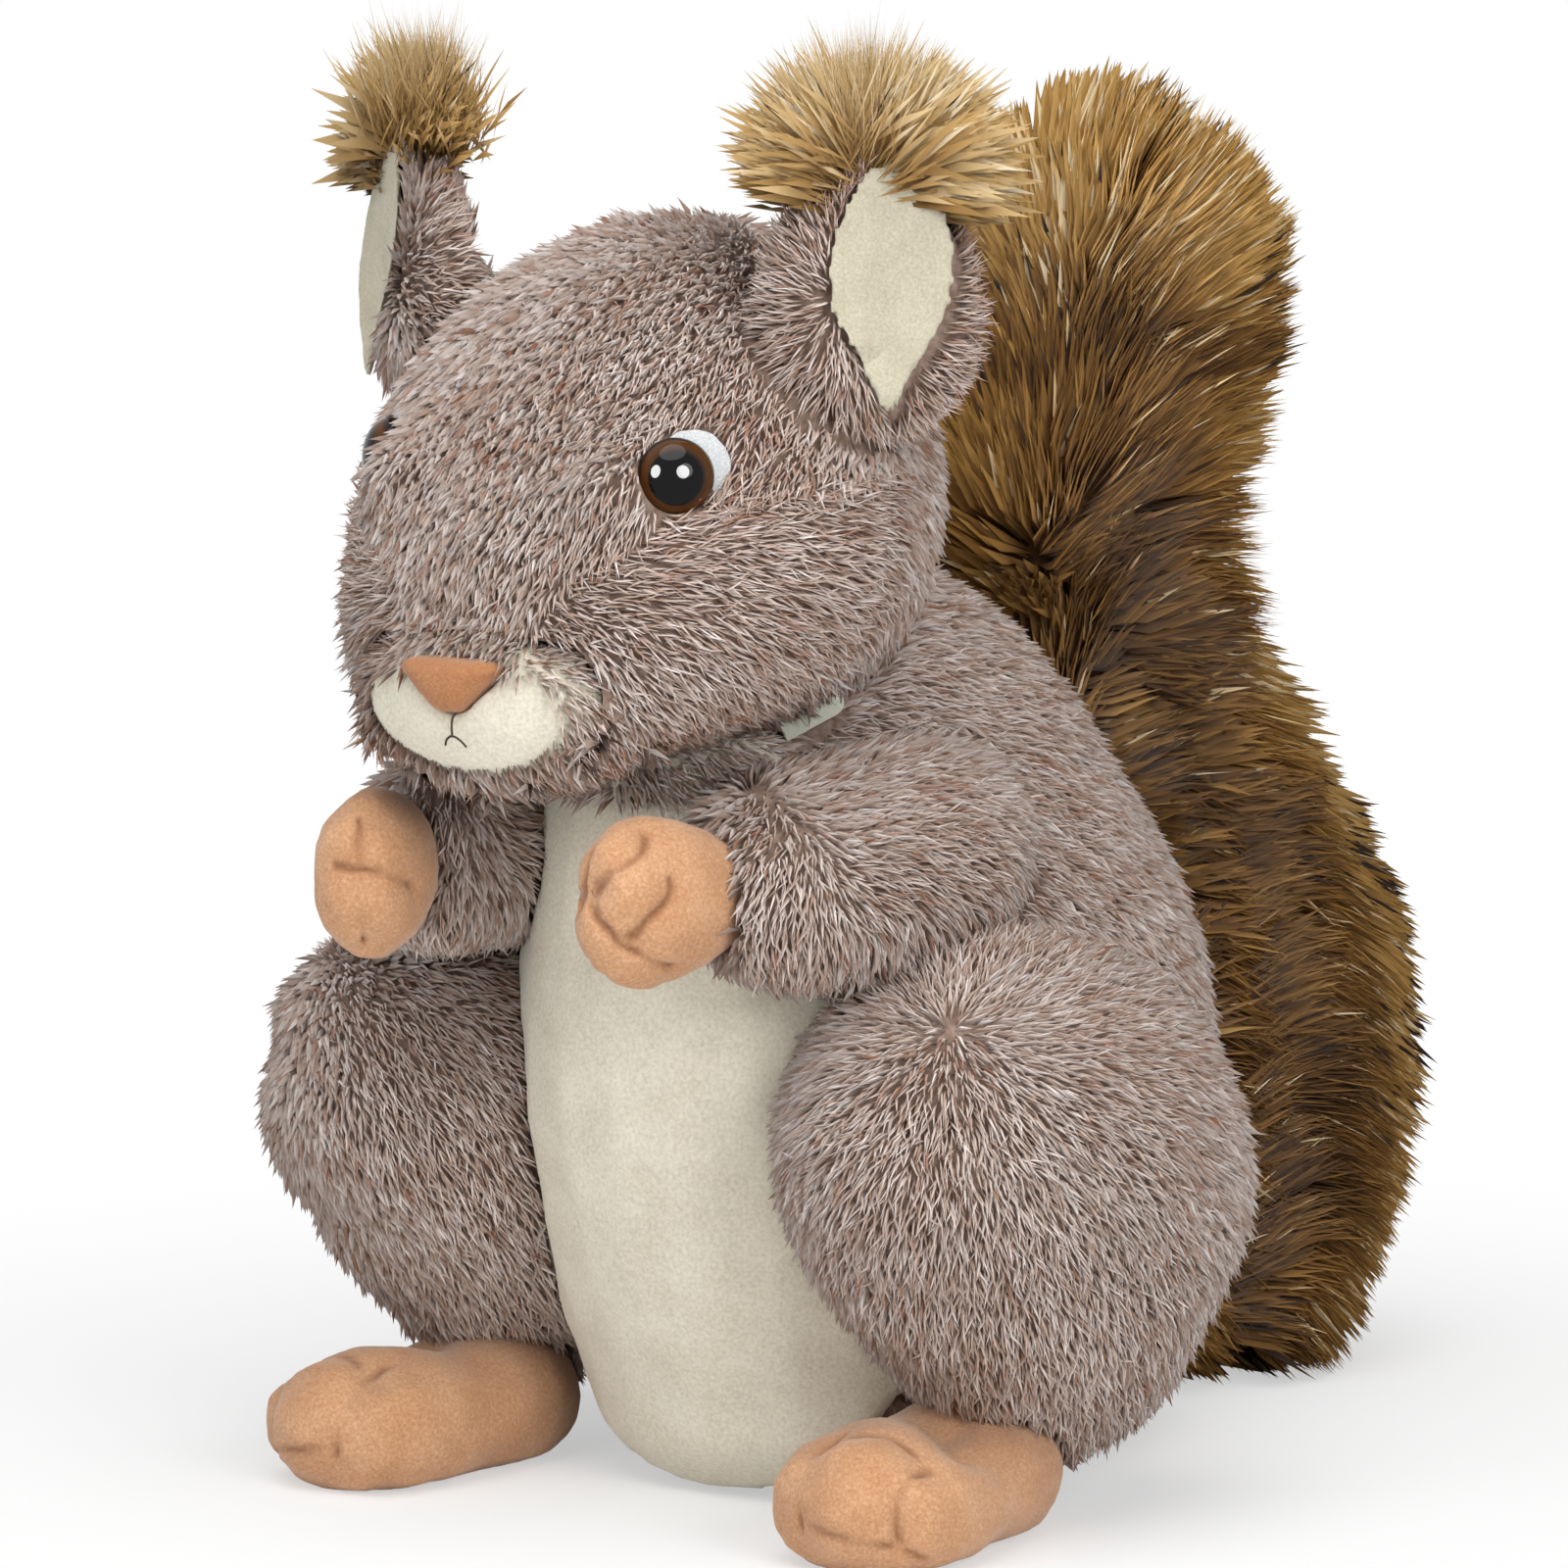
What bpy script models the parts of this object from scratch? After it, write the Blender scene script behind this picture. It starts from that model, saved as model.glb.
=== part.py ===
"""Plush squirrel that sits up, its hands before its chest and its tail up its back.

Metres, +Z up. It faces -Y and its left side is +X. The origin is the middle of the seat, which is the
flat face of the torso that it sits on. Each stuffed form is a row of oval sections with a smooth skin
over them, out to the tips of its pile. Where two forms meet they are sewn together, so the one that
carries is cut back by the other, which is grown by the seam gap.
"""

import math

import bmesh
import bpy
import numpy as np
from mathutils import Matrix, Vector
from mathutils.bvhtree import BVHTree

MM = 0.001

# Clearance between two pieces that are sewn or pressed together
SEAM_GAP = 0.3 * MM

# Torso, from the flat seat to the neck
TORSO_HEIGHT = 268 * MM
TORSO_WIDTH = 163 * MM
TORSO_DEPTH = 230 * MM
NECK_LEAN = 82 * MM

# Cream panel down the front of the torso
BELLY_PILE = 2.6 * MM
BELLY_WIDTH = 146 * MM
BELLY_TOP = 226 * MM
BELLY_BOTTOM = 12 * MM
# 2 is an oval outline, and more is squarer
BELLY_SQUARENESS = 2.6
# Share of its width that the panel loses towards its top
BELLY_TAPER = 0.36

# Head, from its back to the tip of the snout
HEAD_LENGTH = 156 * MM
HEAD_WIDTH = 159 * MM
HEAD_HEIGHT = 139 * MM
HEAD_SINK = 60 * MM
HEAD_BACK = 46 * MM
SNOUT_DROP = 42 * MM
CHEEK_FULLNESS = 0.14

# Muzzle, nose and the thread of the mouth
MUZZLE_WIDTH = 85 * MM
MUZZLE_HEIGHT = 50 * MM
MUZZLE_LENGTH = 56 * MM
MUZZLE_PROUD = 4 * MM
MUZZLE_DROP = 10 * MM
NOSE_WIDTH = 31 * MM
NOSE_HEIGHT = 16 * MM
NOSE_LENGTH = 16 * MM
NOSE_PROUD = 4.5 * MM
NOSE_RISE = 6 * MM
# Share of its half width that the nose reaches at the middle of a side, and how sharp its corners are
NOSE_FLAT = 0.72
NOSE_SHARPNESS = 7
THREAD_THICKNESS = 1.3 * MM
MOUTH_DROP = 6 * MM
MOUTH_REACH = 4 * MM
# The lower stitch hangs down at its ends: 1 is a straight slope, and more is rounder
MOUTH_BOW = 1.5
STITCH_SPACING = 0.9 * MM

# Eyes: a moulded dome with a shank, a felt white behind it and a lock washer on the shank
EYE_DIAMETER = 20 * MM
EYE_BULGE = 7 * MM
EYE_RIM = 1.2 * MM
EYE_YAW = math.radians(45)
EYE_PITCH = math.radians(5.5)
# The eye's rim lies this deep under the pile, in a socket that the thread draws into the head
EYE_DEPTH = 3.4 * MM
SOCKET_DIAMETER = 34 * MM
SOCKET_DEPTH = 7.5 * MM
SHANK_DIAMETER = 5 * MM
SHANK_LENGTH = 15 * MM
FELT_DIAMETER = 19.4 * MM
FELT_THICKNESS = 1.2 * MM
FELT_SHIFT = 5.3 * MM
FELT_TURN = math.radians(25)
WASHER_DIAMETER = 15 * MM
WASHER_THICKNESS = 2.5 * MM
WASHER_DEPTH = 9 * MM

# Blank label sewn in under the left cheek: a flat strip whose end is round
LABEL_LENGTH = 19 * MM
LABEL_WIDTH = 7 * MM
LABEL_THICKNESS = 0.8 * MM
# Above the lowest point of the head
LABEL_RISE = 4 * MM
# Share of the neck's lean by which the torso's middle lies forward at the label
LABEL_LEAN = 0.7
LABEL_SIDE = math.radians(39)
LABEL_YAW = math.radians(130)
LABEL_PITCH = math.radians(25)

# Ears: a fur cup, a cream lining in its hollow and a tuft of long hair on its tip
EAR_HEIGHT = 80 * MM
EAR_WIDTH = 60 * MM
EAR_DEPTH = 32 * MM
EAR_SINK = 6 * MM
EAR_YAW = math.radians(36)
EAR_PITCH = math.radians(15)
EAR_LEAN = math.radians(3)
LINING_WIDTH = 40 * MM
LINING_LENGTH = 76 * MM
LINING_HOLLOW = 18 * MM
LINING_RISE = 4 * MM
LINING_PROUD = 4 * MM
LINING_THICKNESS = 2.2 * MM
TUFT_REACH = 40 * MM
TUFT_CORE = 12 * MM
TUFT_ABOVE = 27 * MM
TUFT_BELOW = 17 * MM
TUFT_SINK = 6 * MM
TUFT_FORWARD = 5 * MM
TUFT_LOCKS = 6
# Shares of the tuft's reach: between two locks, to the side, what it gains ahead and loses to the back,
# and at its middle. Each ring of locks is turned by the twist from the ring below.
TUFT_LOCK_DEPTH = 0.5
TUFT_SIDE_REACH = 0.82
TUFT_BACK_LOSS = 0.3
TUFT_MIDDLE_REACH = 0.75
TUFT_FLATNESS = 0.8
TUFT_TWIST = 1.3

# Arms, from a shoulder sunk in the torso to the cuff that a hand is sewn into
SHOULDER_HEIGHT = 186 * MM
SHOULDER_SINK = 20 * MM
# Share of the neck's lean by which the torso's middle lies forward at the shoulder
SHOULDER_LEAN = 0.4
ARM_THICKNESS = 64 * MM
CUFF_THICKNESS = 52 * MM
# How soon an arm's rounded ends reach its full thickness, and how blunt they are
ARM_END_FULLNESS = 1.25
ARM_END_BLUNTNESS = 0.7
ELBOW_OUT = 14 * MM
ELBOW_DROP = 6 * MM

# Hands
HAND_SPACING = 93 * MM
HAND_FORWARD = 166 * MM
HAND_RISE = 175 * MM
HAND_LENGTH = 56 * MM
HAND_WIDTH = 46 * MM
HAND_THICKNESS = 30 * MM
HAND_YAW = math.radians(18)
HAND_SUNK = 20 * MM
FINGER_GROOVE = 1.6 * MM

# Legs
LEG_HEIGHT = 151 * MM
LEG_RISE = 10 * MM
LEG_WIDTH = 110 * MM
LEG_DEPTH = 160 * MM
LEG_SPACING = 175 * MM
LEG_FORWARD = 67 * MM
LEG_LEAN = 46 * MM

# Feet
FOOT_LENGTH = 102 * MM
FOOT_WIDTH = 59 * MM
FOOT_HEIGHT = 38 * MM
FOOT_MIDDLE = 16 * MM
FOOT_YAW = math.radians(6)
FOOT_SPACING = 168 * MM
FOOT_FORWARD = 102 * MM
TOE_GROOVE = 2 * MM

# Tail, from the ground to its rounded top, tips of its hair included
TAIL_HEIGHT = 372 * MM
TAIL_WIDTH = 98 * MM
TAIL_DEPTH = 112 * MM
TAIL_OVERLAP = 10 * MM
TAIL_SWAY = 80 * MM
LOCK_DEPTH = 4 * MM
LOCKS_ROUND = 7
LOCK_BANDS = 7

# Sections of each form. A row gives a place along the form and the half sizes there, as shares of the
# form's own length, width and depth, and then a shift of its middle as a share of the form's own lean.
TORSO_SECTIONS = (
    (0.000, 0.62, 0.55, -0.10),
    (0.035, 0.80, 0.71, -0.06),
    (0.100, 0.90, 0.84, -0.01),
    (0.240, 0.97, 0.94, 0.05),
    (0.390, 1.00, 1.00, 0.11),
    (0.533, 0.96, 0.97, 0.16),
    (0.667, 0.83, 0.87, 0.29),
    (0.800, 0.68, 0.72, 0.46),
    (0.910, 0.52, 0.55, 0.74),
    (1.000, 0.00, 0.00, 1.00),
)
HEAD_SECTIONS = (
    (0.00, 0.00, 0.00, 0.00),
    (0.09, 0.61, 0.62, 0.00),
    (0.22, 0.85, 0.90, -0.02),
    (0.40, 0.98, 1.00, -0.02),
    (0.60, 0.99, 0.96, 0.10),
    (0.76, 0.84, 0.84, 0.38),
    (0.88, 0.66, 0.68, 0.68),
    (0.96, 0.48, 0.51, 0.92),
    (1.00, 0.00, 0.00, 1.00),
)
MUZZLE_SECTIONS = (
    (0.00, 0.00, 0.00, 0.00),
    (0.18, 0.76, 0.74, 0.00),
    (0.50, 1.00, 1.00, 0.00),
    (0.80, 0.86, 0.82, 0.00),
    (1.00, 0.00, 0.00, 0.00),
)
NOSE_SECTIONS = (
    (0.00, 0.00, 0.00, 0.00),
    (0.10, 0.80, 0.80, 0.00),
    (0.60, 1.00, 1.00, 0.00),
    (0.92, 0.80, 0.80, 0.00),
    (1.00, 0.00, 0.00, 0.00),
)
EAR_SECTIONS = (
    (0.00, 0.00, 0.00, 0.00),
    (0.08, 0.66, 0.66, 0.00),
    (0.26, 0.96, 1.00, 0.00),
    (0.48, 1.00, 0.90, 0.00),
    (0.68, 0.84, 0.70, 0.00),
    (0.86, 0.52, 0.46, 0.00),
    (0.96, 0.26, 0.28, 0.00),
    (1.00, 0.00, 0.00, 0.00),
)
# The lining's shift leans its middle back with the ear's narrowing front
LINING_SECTIONS = (
    (0.00, 0.00, 0.00, -0.04),
    (0.14, 0.34, 0.60, 0.00),
    (0.38, 0.76, 1.00, 0.10),
    (0.66, 1.00, 0.90, 0.34),
    (0.88, 0.78, 0.60, 0.58),
    (1.00, 0.00, 0.00, 0.66),
)
LEG_SECTIONS = (
    (0.00, 0.00, 0.00, -0.40),
    (0.08, 0.36, 0.32, -0.38),
    (0.20, 0.66, 0.58, -0.26),
    (0.36, 0.90, 0.82, -0.13),
    (0.54, 1.00, 1.00, 0.00),
    (0.72, 0.94, 0.94, 0.10),
    (0.88, 0.70, 0.70, 0.14),
    (1.00, 0.00, 0.00, 0.10),
)
FOOT_SECTIONS = (
    (0.00, 0.00, 0.00, 0.00),
    (0.06, 0.52, 0.62, 0.00),
    (0.25, 0.84, 0.98, 0.00),
    (0.48, 0.92, 0.86, 0.00),
    (0.70, 1.00, 0.98, 0.00),
    (0.88, 0.86, 0.84, 0.00),
    (1.00, 0.00, 0.00, 0.00),
)
HAND_SECTIONS = (
    (0.00, 0.00, 0.00, 0.00),
    (0.10, 0.46, 0.50, 0.00),
    (0.35, 0.84, 0.84, 0.00),
    (0.62, 1.00, 1.00, 0.00),
    (0.86, 0.80, 0.82, 0.00),
    (1.00, 0.00, 0.00, 0.00),
)
# The tail's shift is forward, towards the back that it leans on
TAIL_SECTIONS = (
    (0.00, 0.66, 0.62, 0.24),
    (0.04, 0.86, 0.84, 0.22),
    (0.13, 0.98, 0.99, 0.12),
    (0.25, 1.00, 1.04, 0.00),
    (0.37, 1.00, 1.00, 0.14),
    (0.48, 0.95, 0.88, 0.46),
    (0.57, 0.91, 0.79, 0.78),
    (0.67, 0.90, 0.74, 1.00),
    (0.78, 0.97, 0.81, 0.80),
    (0.89, 0.94, 0.80, 0.77),
    (0.96, 0.66, 0.54, 0.80),
    (1.00, 0.00, 0.00, 0.84),
)

# Linear colour and roughness of each cloth, plush and plastic
FUR = ((0.36, 0.27, 0.23), 0.95)
CREAM = ((0.76, 0.71, 0.60), 0.9)
APRICOT = ((0.62, 0.33, 0.15), 0.9)
TUFT_HAIR = ((0.33, 0.20, 0.08), 0.9)
TAIL_HAIR = ((0.17, 0.09, 0.03), 0.9)
EYE_PLASTIC = ((0.02, 0.01, 0.005), 0.12)
NYLON = ((0.80, 0.80, 0.78), 0.5)
LABEL_CLOTH = ((0.62, 0.62, 0.50), 0.7)
FELT = ((0.60, 0.62, 0.62), 0.95)
THREAD = ((0.06, 0.03, 0.02), 0.8)

SIDES = (("left", 1), ("right", -1))
MIRROR = Matrix.Scale(-1, 4, (1, 0, 0))


def clear_scene():
    for obj in list(bpy.data.objects):
        bpy.data.objects.remove(obj, do_unlink=True)


def finish(name, look):
    colour, roughness = look
    made = bpy.data.materials.new(name)
    made.use_nodes = True
    shader = made.node_tree.nodes["Principled BSDF"]
    shader.inputs["Base Color"].default_value = (*colour, 1.0)
    shader.inputs["Roughness"].default_value = roughness
    made.diffuse_color = (*colour, 1.0)
    return made


def spline(rows, count):
    """Rows read at even steps along a smooth curve through them. A row of no width is a pole: the curve
    goes on mirrored past it, so that the end is round."""
    rows = np.array(rows, float)
    beyond = []
    for end, inner in ((rows[0], rows[1]), (rows[-1], rows[-2])):
        if end[1:3].any():
            beyond.append(2 * end - inner)
        else:
            beyond.append(inner * (1, -1, -1, 1))
    knots = np.vstack([beyond[0], rows, beyond[1]])
    gaps = np.linalg.norm(np.diff(knots[:, :3], axis=0), axis=1) ** 0.6
    at = np.concatenate([[0.0], np.cumsum(gaps)])
    rates = np.diff(knots, axis=0) / gaps[:, None]
    share = (gaps[:-1] / (gaps[:-1] + gaps[1:]))[:, None]
    slopes = rates[:-1] * (1 - share) + rates[1:] * share
    place = np.linspace(at[1], at[-2], count)
    i = np.clip(np.searchsorted(at[1:-1], place, side="right") - 1, 0, len(rows) - 2)
    gap = gaps[i + 1][:, None]
    s = (place - at[i + 1])[:, None] / gap
    return (
        (2 * s**3 - 3 * s**2 + 1) * rows[i]
        + (s**3 - 2 * s**2 + s) * gap * slopes[i]
        + (3 * s**2 - 2 * s**3) * rows[i + 1]
        + (s**3 - s**2) * gap * slopes[i + 1]
    )


def sized(sections, length, width, depth, lean=0.0):
    return [(p * length, w * width / 2, d * depth / 2, s * lean) for p, w, d, s in sections]


def frame(origin, along, up=(0, 0, 1)):
    """Local z runs along a form and local y towards up, as nearly as it can."""
    z = Vector(along).normalized()
    x = Vector(up).cross(z).normalized()
    turn = Matrix((x, z.cross(x), z)).transposed()
    return Matrix.Translation(origin) @ turn.to_4x4()


def heading(yaw, pitch=0.0):
    """A direction turned from straight ahead towards the left, and then raised."""
    level = math.cos(pitch)
    return Vector((math.sin(yaw) * level, -math.cos(yaw) * level, math.sin(pitch)))


def add_object(name, mesh_data, place, look):
    mesh = bpy.data.meshes.new(name)
    mesh_data.to_mesh(mesh)
    mesh_data.free()
    mesh.shade_smooth()
    obj = bpy.data.objects.new(name, mesh)
    obj.matrix_world = place
    if look is not None:
        mesh.materials.append(finish(name, look))
    bpy.context.collection.objects.link(obj)
    return obj


def add_skin(name, look, rings, place, side=1):
    """A closed skin over rings of points, each a loop round local z. A ring of one point is a pole, and
    an open end is closed flat. The right side is the left one mirrored."""
    made = bmesh.new()
    flip = Vector((side, 1, 1))
    loops = [[made.verts.new(Vector(p) * flip) for p in ring] for ring in rings]

    def face(*corners):
        made.faces.new(corners if side > 0 else corners[::-1])

    for low, high in zip(loops, loops[1:]):
        count = max(len(low), len(high))
        for j in range(count):
            k = (j + 1) % count
            if len(low) == 1:
                face(low[0], high[k], high[j])
            elif len(high) == 1:
                face(low[j], low[k], high[0])
            else:
                face(low[j], low[k], high[k], high[j])
    for ring, turn in ((loops[0], -1), (loops[-1], 1)):
        if len(ring) > 1:
            face(*ring[::turn])
    if side < 0:
        place = MIRROR @ place @ MIRROR
    return add_object(name, made, place, look)


def oval_rings(rows, count, sides, shape=None, warp=None):
    """Oval rings round local z, poles included. The shape scales a ring's radius by place and angle, and
    the warp moves its points."""
    angles = np.arange(sides) * 2 * math.pi / sides
    rings = []
    length = rows[-1][0] - rows[0][0]
    for place, width, depth, shift in spline(rows, count):
        if width < 1e-6:
            points = np.array([[0.0, -shift, place]])
        else:
            scale = 1.0 if shape is None else shape((place - rows[0][0]) / length, angles)
            points = np.stack(
                [
                    width * np.cos(angles) * scale,
                    depth * np.sin(angles) * scale - shift,
                    np.full(sides, place),
                ],
                axis=1,
            )
        rings.append(points if warp is None else warp(points))
    return rings


def grown(obj, by, name):
    """A hidden copy with each point moved out along its normal, to cut a neighbour with."""
    made = bmesh.new()
    made.from_mesh(obj.data)
    made.normal_update()
    for vert in made.verts:
        vert.co += vert.normal * by
    cutter = add_object(name, made, obj.matrix_world.copy(), None)
    cutter.hide_render = True
    cutter.display_type = "WIRE"
    return cutter


def cut(obj, cutter, operation="DIFFERENCE"):
    made = obj.modifiers.new(cutter.name, "BOOLEAN")
    made.operation = operation
    made.object = cutter
    made.solver = "EXACT"


def surface_point(obj, start, direction):
    """Where a ray from inside leaves the form, and the way that its surface faces there."""
    made = bmesh.new()
    made.from_mesh(obj.data)
    made.transform(obj.matrix_world)
    tree = BVHTree.FromBMesh(made)
    made.free()
    place, normal, _, _ = tree.ray_cast(Vector(start), Vector(direction).normalized())
    return place, normal


def lobed(lobes, depth, start):
    """Grooves between lobes, side by side across the last part of a form."""

    def shape(place, angles):
        end = np.clip((place - start) / (1 - start), 0, 1)
        return 1 - depth * end * np.abs(np.cos(angles * lobes / 2)) ** 6

    return shape


def build_torso():
    rows = sized(TORSO_SECTIONS, TORSO_HEIGHT, TORSO_WIDTH, TORSO_DEPTH, NECK_LEAN)
    return add_skin("torso", FUR, oval_rings(rows, 14, 28), Matrix.Identity(4))


def build_belly_panel(torso):
    """The torso's own front surface, a pile thick, within an outline that is long and round."""
    panel = add_object("belly_panel", copy_of(torso), torso.matrix_world.copy(), CREAM)
    for vert in panel.data.vertices:
        vert.co += vert.normal * (SEAM_GAP + BELLY_PILE)
    middle = (BELLY_TOP + BELLY_BOTTOM) / 2
    half = (BELLY_TOP - BELLY_BOTTOM) / 2
    outline = []
    for angle in np.arange(32) * 2 * math.pi / 32:
        x, z = math.cos(angle), math.sin(angle)
        reach = (abs(x) ** BELLY_SQUARENESS + abs(z) ** BELLY_SQUARENESS) ** (-1 / BELLY_SQUARENESS)
        width = BELLY_WIDTH * (1 - BELLY_TAPER * max(z * reach, 0.0))
        outline.append((x * reach * width / 2, z * reach * half))
    ahead = [[(x, z, y) for x, z in outline] for y in (0.0, TORSO_DEPTH + NECK_LEAN)]
    stencil = add_skin("belly_outline", None, ahead, frame((0, 0, middle), (0, -1, 0)))
    stencil.hide_render = True
    stencil.display_type = "WIRE"
    cut(panel, stencil, "INTERSECT")
    return panel


def copy_of(obj):
    made = bmesh.new()
    made.from_mesh(obj.data)
    return made


def build_head():
    def cheeks(points):
        lift = points[:, 1] / (HEAD_HEIGHT / 2)
        points[:, 0] *= 1 - CHEEK_FULLNESS * lift
        return points

    rows = sized(HEAD_SECTIONS, HEAD_LENGTH, HEAD_WIDTH, HEAD_HEIGHT, SNOUT_DROP)
    middle = TORSO_HEIGHT - HEAD_SINK + HEAD_HEIGHT / 2
    place = frame((0, HEAD_BACK - NECK_LEAN, middle), (0, -1, 0))
    return add_skin("head", FUR, oval_rings(rows, 15, 28, warp=cheeks), place)


def build_muzzle(head):
    tip = head.matrix_world @ Vector((0, -SNOUT_DROP, HEAD_LENGTH))
    start = tip + Vector((0, MUZZLE_LENGTH - MUZZLE_PROUD, -MUZZLE_DROP))
    rows = sized(MUZZLE_SECTIONS, MUZZLE_LENGTH, MUZZLE_WIDTH, MUZZLE_HEIGHT)
    return add_skin("muzzle", CREAM, oval_rings(rows, 9, 20), frame(start, (0, -1, 0)))


def build_nose(muzzle):
    """A padded triangle, one corner down, on the top of the muzzle's front."""

    def triangle(_, angles):
        sides = [angles - math.radians(turn) for turn in (90, 210, 330)]
        flats = sum(np.clip(np.cos(side), 0, 1) ** NOSE_SHARPNESS for side in sides)
        return NOSE_FLAT / flats ** (1 / NOSE_SHARPNESS)

    front = muzzle.matrix_world @ Vector((0, NOSE_RISE, MUZZLE_LENGTH))
    start = front + Vector((0, NOSE_LENGTH - NOSE_PROUD, 0))
    rows = sized(NOSE_SECTIONS, NOSE_LENGTH, NOSE_WIDTH, NOSE_HEIGHT)
    return add_skin("nose", APRICOT, oval_rings(rows, 7, 18, shape=triangle), frame(start, (0, -1, 0)))


def build_mouth(muzzle, nose, nose_cutter):
    """Two stitches of thread, half sunk in the muzzle: one down from the nose, one across its end."""
    above = nose.matrix_world.translation.z - NOSE_HEIGHT / 2
    inside = muzzle.matrix_world @ Vector((0, 0, MUZZLE_LENGTH / 2))
    down = [(0, -MOUTH_DROP * share) for share in (0, 0.5, 1)]
    top = -MOUTH_DROP - THREAD_THICKNESS - STITCH_SPACING
    across = [(MOUTH_REACH * s, top - MOUTH_REACH * abs(s) ** MOUTH_BOW) for s in (-1, -0.5, 0, 0.5, 1)]
    for name, route in (("mouth_stitch_down", down), ("mouth_stitch_across", across)):
        points = [
            surface_point(muzzle, (x, inside.y, above + z), (0, -1, 0))[0] for x, z in route
        ]
        thread = add_thread(name, points)
        cut(muzzle, grown(thread, SEAM_GAP, f"{name}_cutter"))
        cut(thread, nose_cutter)


def add_thread(name, points):
    """A round thread through points on the face, cut off flat at both ends."""
    rings = []
    for before, at, after in zip(points[:1] + points, points, points[1:] + points[-1:]):
        place = frame(at, after - before, up=(0, -1, 0))
        ring = circle(THREAD_THICKNESS / 2, sides=6)
        rings.append([place @ Vector((x, y, 0)) for x, y in ring])
    return add_skin(name, THREAD, rings, Matrix.Identity(4))


def circle(radius, sides=14, middle=(0.0, 0.0)):
    turns = np.arange(sides) * 2 * math.pi / sides
    return [(middle[0] + radius * math.cos(t), middle[1] + radius * math.sin(t)) for t in turns]


def build_label(torso, neighbours):
    start = (0, -NECK_LEAN * LABEL_LEAN, TORSO_HEIGHT - HEAD_SINK + LABEL_RISE)
    root, facing = surface_point(torso, start, heading(LABEL_SIDE))
    place = frame(root, facing, up=heading(LABEL_YAW, LABEL_PITCH))
    half = LABEL_WIDTH / 2
    outline = [(half, 0)]
    for turn in np.linspace(0, math.pi, 7):
        outline.append((half * math.cos(turn), LABEL_LENGTH - half + half * math.sin(turn)))
    outline.append((-half, 0))
    levels = (SEAM_GAP, SEAM_GAP + LABEL_THICKNESS)
    rings = [[(x, y, level) for x, y in outline] for level in levels]
    label = add_skin("neck_label", LABEL_CLOTH, rings, place)
    for neighbour in neighbours:
        cut(label, neighbour)


def turned(outline):
    """Rings of a turned shape, from pairs of radius and height, lowest first."""
    return [
        [(x, y, height) for x, y in circle(radius)] if radius else [(0, 0, height)]
        for radius, height in outline
    ]


def build_eyes(head):
    """Each eye faces out of a shallow socket in the head, with its felt flat behind it."""
    radius, shank = EYE_DIAMETER / 2, SHANK_DIAMETER / 2
    rises = np.radians((0, 25, 50, 72))
    outline = [(0, -SHANK_LENGTH), (shank, -SHANK_LENGTH), (shank, -EYE_RIM), (radius, -EYE_RIM)]
    outline += [(radius * math.cos(rise), EYE_BULGE * math.sin(rise)) for rise in rises]
    outline.append((0, EYE_BULGE))
    middle = head.matrix_world @ Vector((0, 0, HEAD_LENGTH / 2))
    facing = heading(EYE_YAW, EYE_PITCH)
    seat, _ = surface_point(head, middle, facing)
    place = frame(seat - facing * EYE_DEPTH, facing)
    away = (FELT_SHIFT * math.cos(FELT_TURN), FELT_SHIFT * math.sin(FELT_TURN))
    socket_place = frame(seat, facing) @ Matrix.Translation((away[0] / 2, away[1] / 2, 0))
    # The socket's cutter is a flat spheroid, whose middle lies on the pile between eye and felt
    turns = np.radians((-55, -20, 20, 55))
    socket = [(0, -SOCKET_DEPTH)]
    socket += [(SOCKET_DIAMETER / 2 * math.cos(t), SOCKET_DEPTH * math.sin(t)) for t in turns]
    socket.append((0, SOCKET_DEPTH))
    hole = circle(shank + SEAM_GAP)
    felt = band(hole, circle(FELT_DIAMETER / 2, middle=away), -EYE_RIM - SEAM_GAP, FELT_THICKNESS)
    washer = band(hole, circle(WASHER_DIAMETER / 2), -WASHER_DEPTH, WASHER_THICKNESS)
    for name, side in SIDES:
        pieces = (
            add_skin(f"eye_{name}", EYE_PLASTIC, turned(outline), place, side),
            add_ring(f"eye_felt_{name}", FELT, felt, place, side),
            add_ring(f"eye_washer_{name}", NYLON, washer, place, side),
        )
        hollow = add_skin(f"eye_socket_{name}_cutter", None, turned(socket), socket_place, side)
        hollow.hide_render = True
        hollow.display_type = "WIRE"
        cut(head, hollow)
        for piece in pieces:
            cut(head, grown(piece, SEAM_GAP, f"{piece.name}_cutter"))


def band(inner, outer, top, thickness):
    """The rings of a flat washer between two outlines."""
    low = top - thickness
    return [
        [(x, y, height) for x, y in edge]
        for edge, height in ((inner, low), (outer, low), (outer, top), (inner, top))
    ]


def add_ring(name, look, rings, place, side):
    """A closed band through rings whose last meets the first, as round a washer's hole."""
    made = bmesh.new()
    flip = Vector((side, 1, 1))
    loops = [[made.verts.new(Vector(p) * flip) for p in ring] for ring in rings]
    for low, high in zip(loops, loops[1:] + loops[:1]):
        for j in range(len(low)):
            k = (j + 1) % len(low)
            corners = (low[j], low[k], high[k], high[j])
            made.faces.new(corners if side > 0 else corners[::-1])
    if side < 0:
        place = MIRROR @ place @ MIRROR
    return add_object(name, made, place, look)


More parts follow.
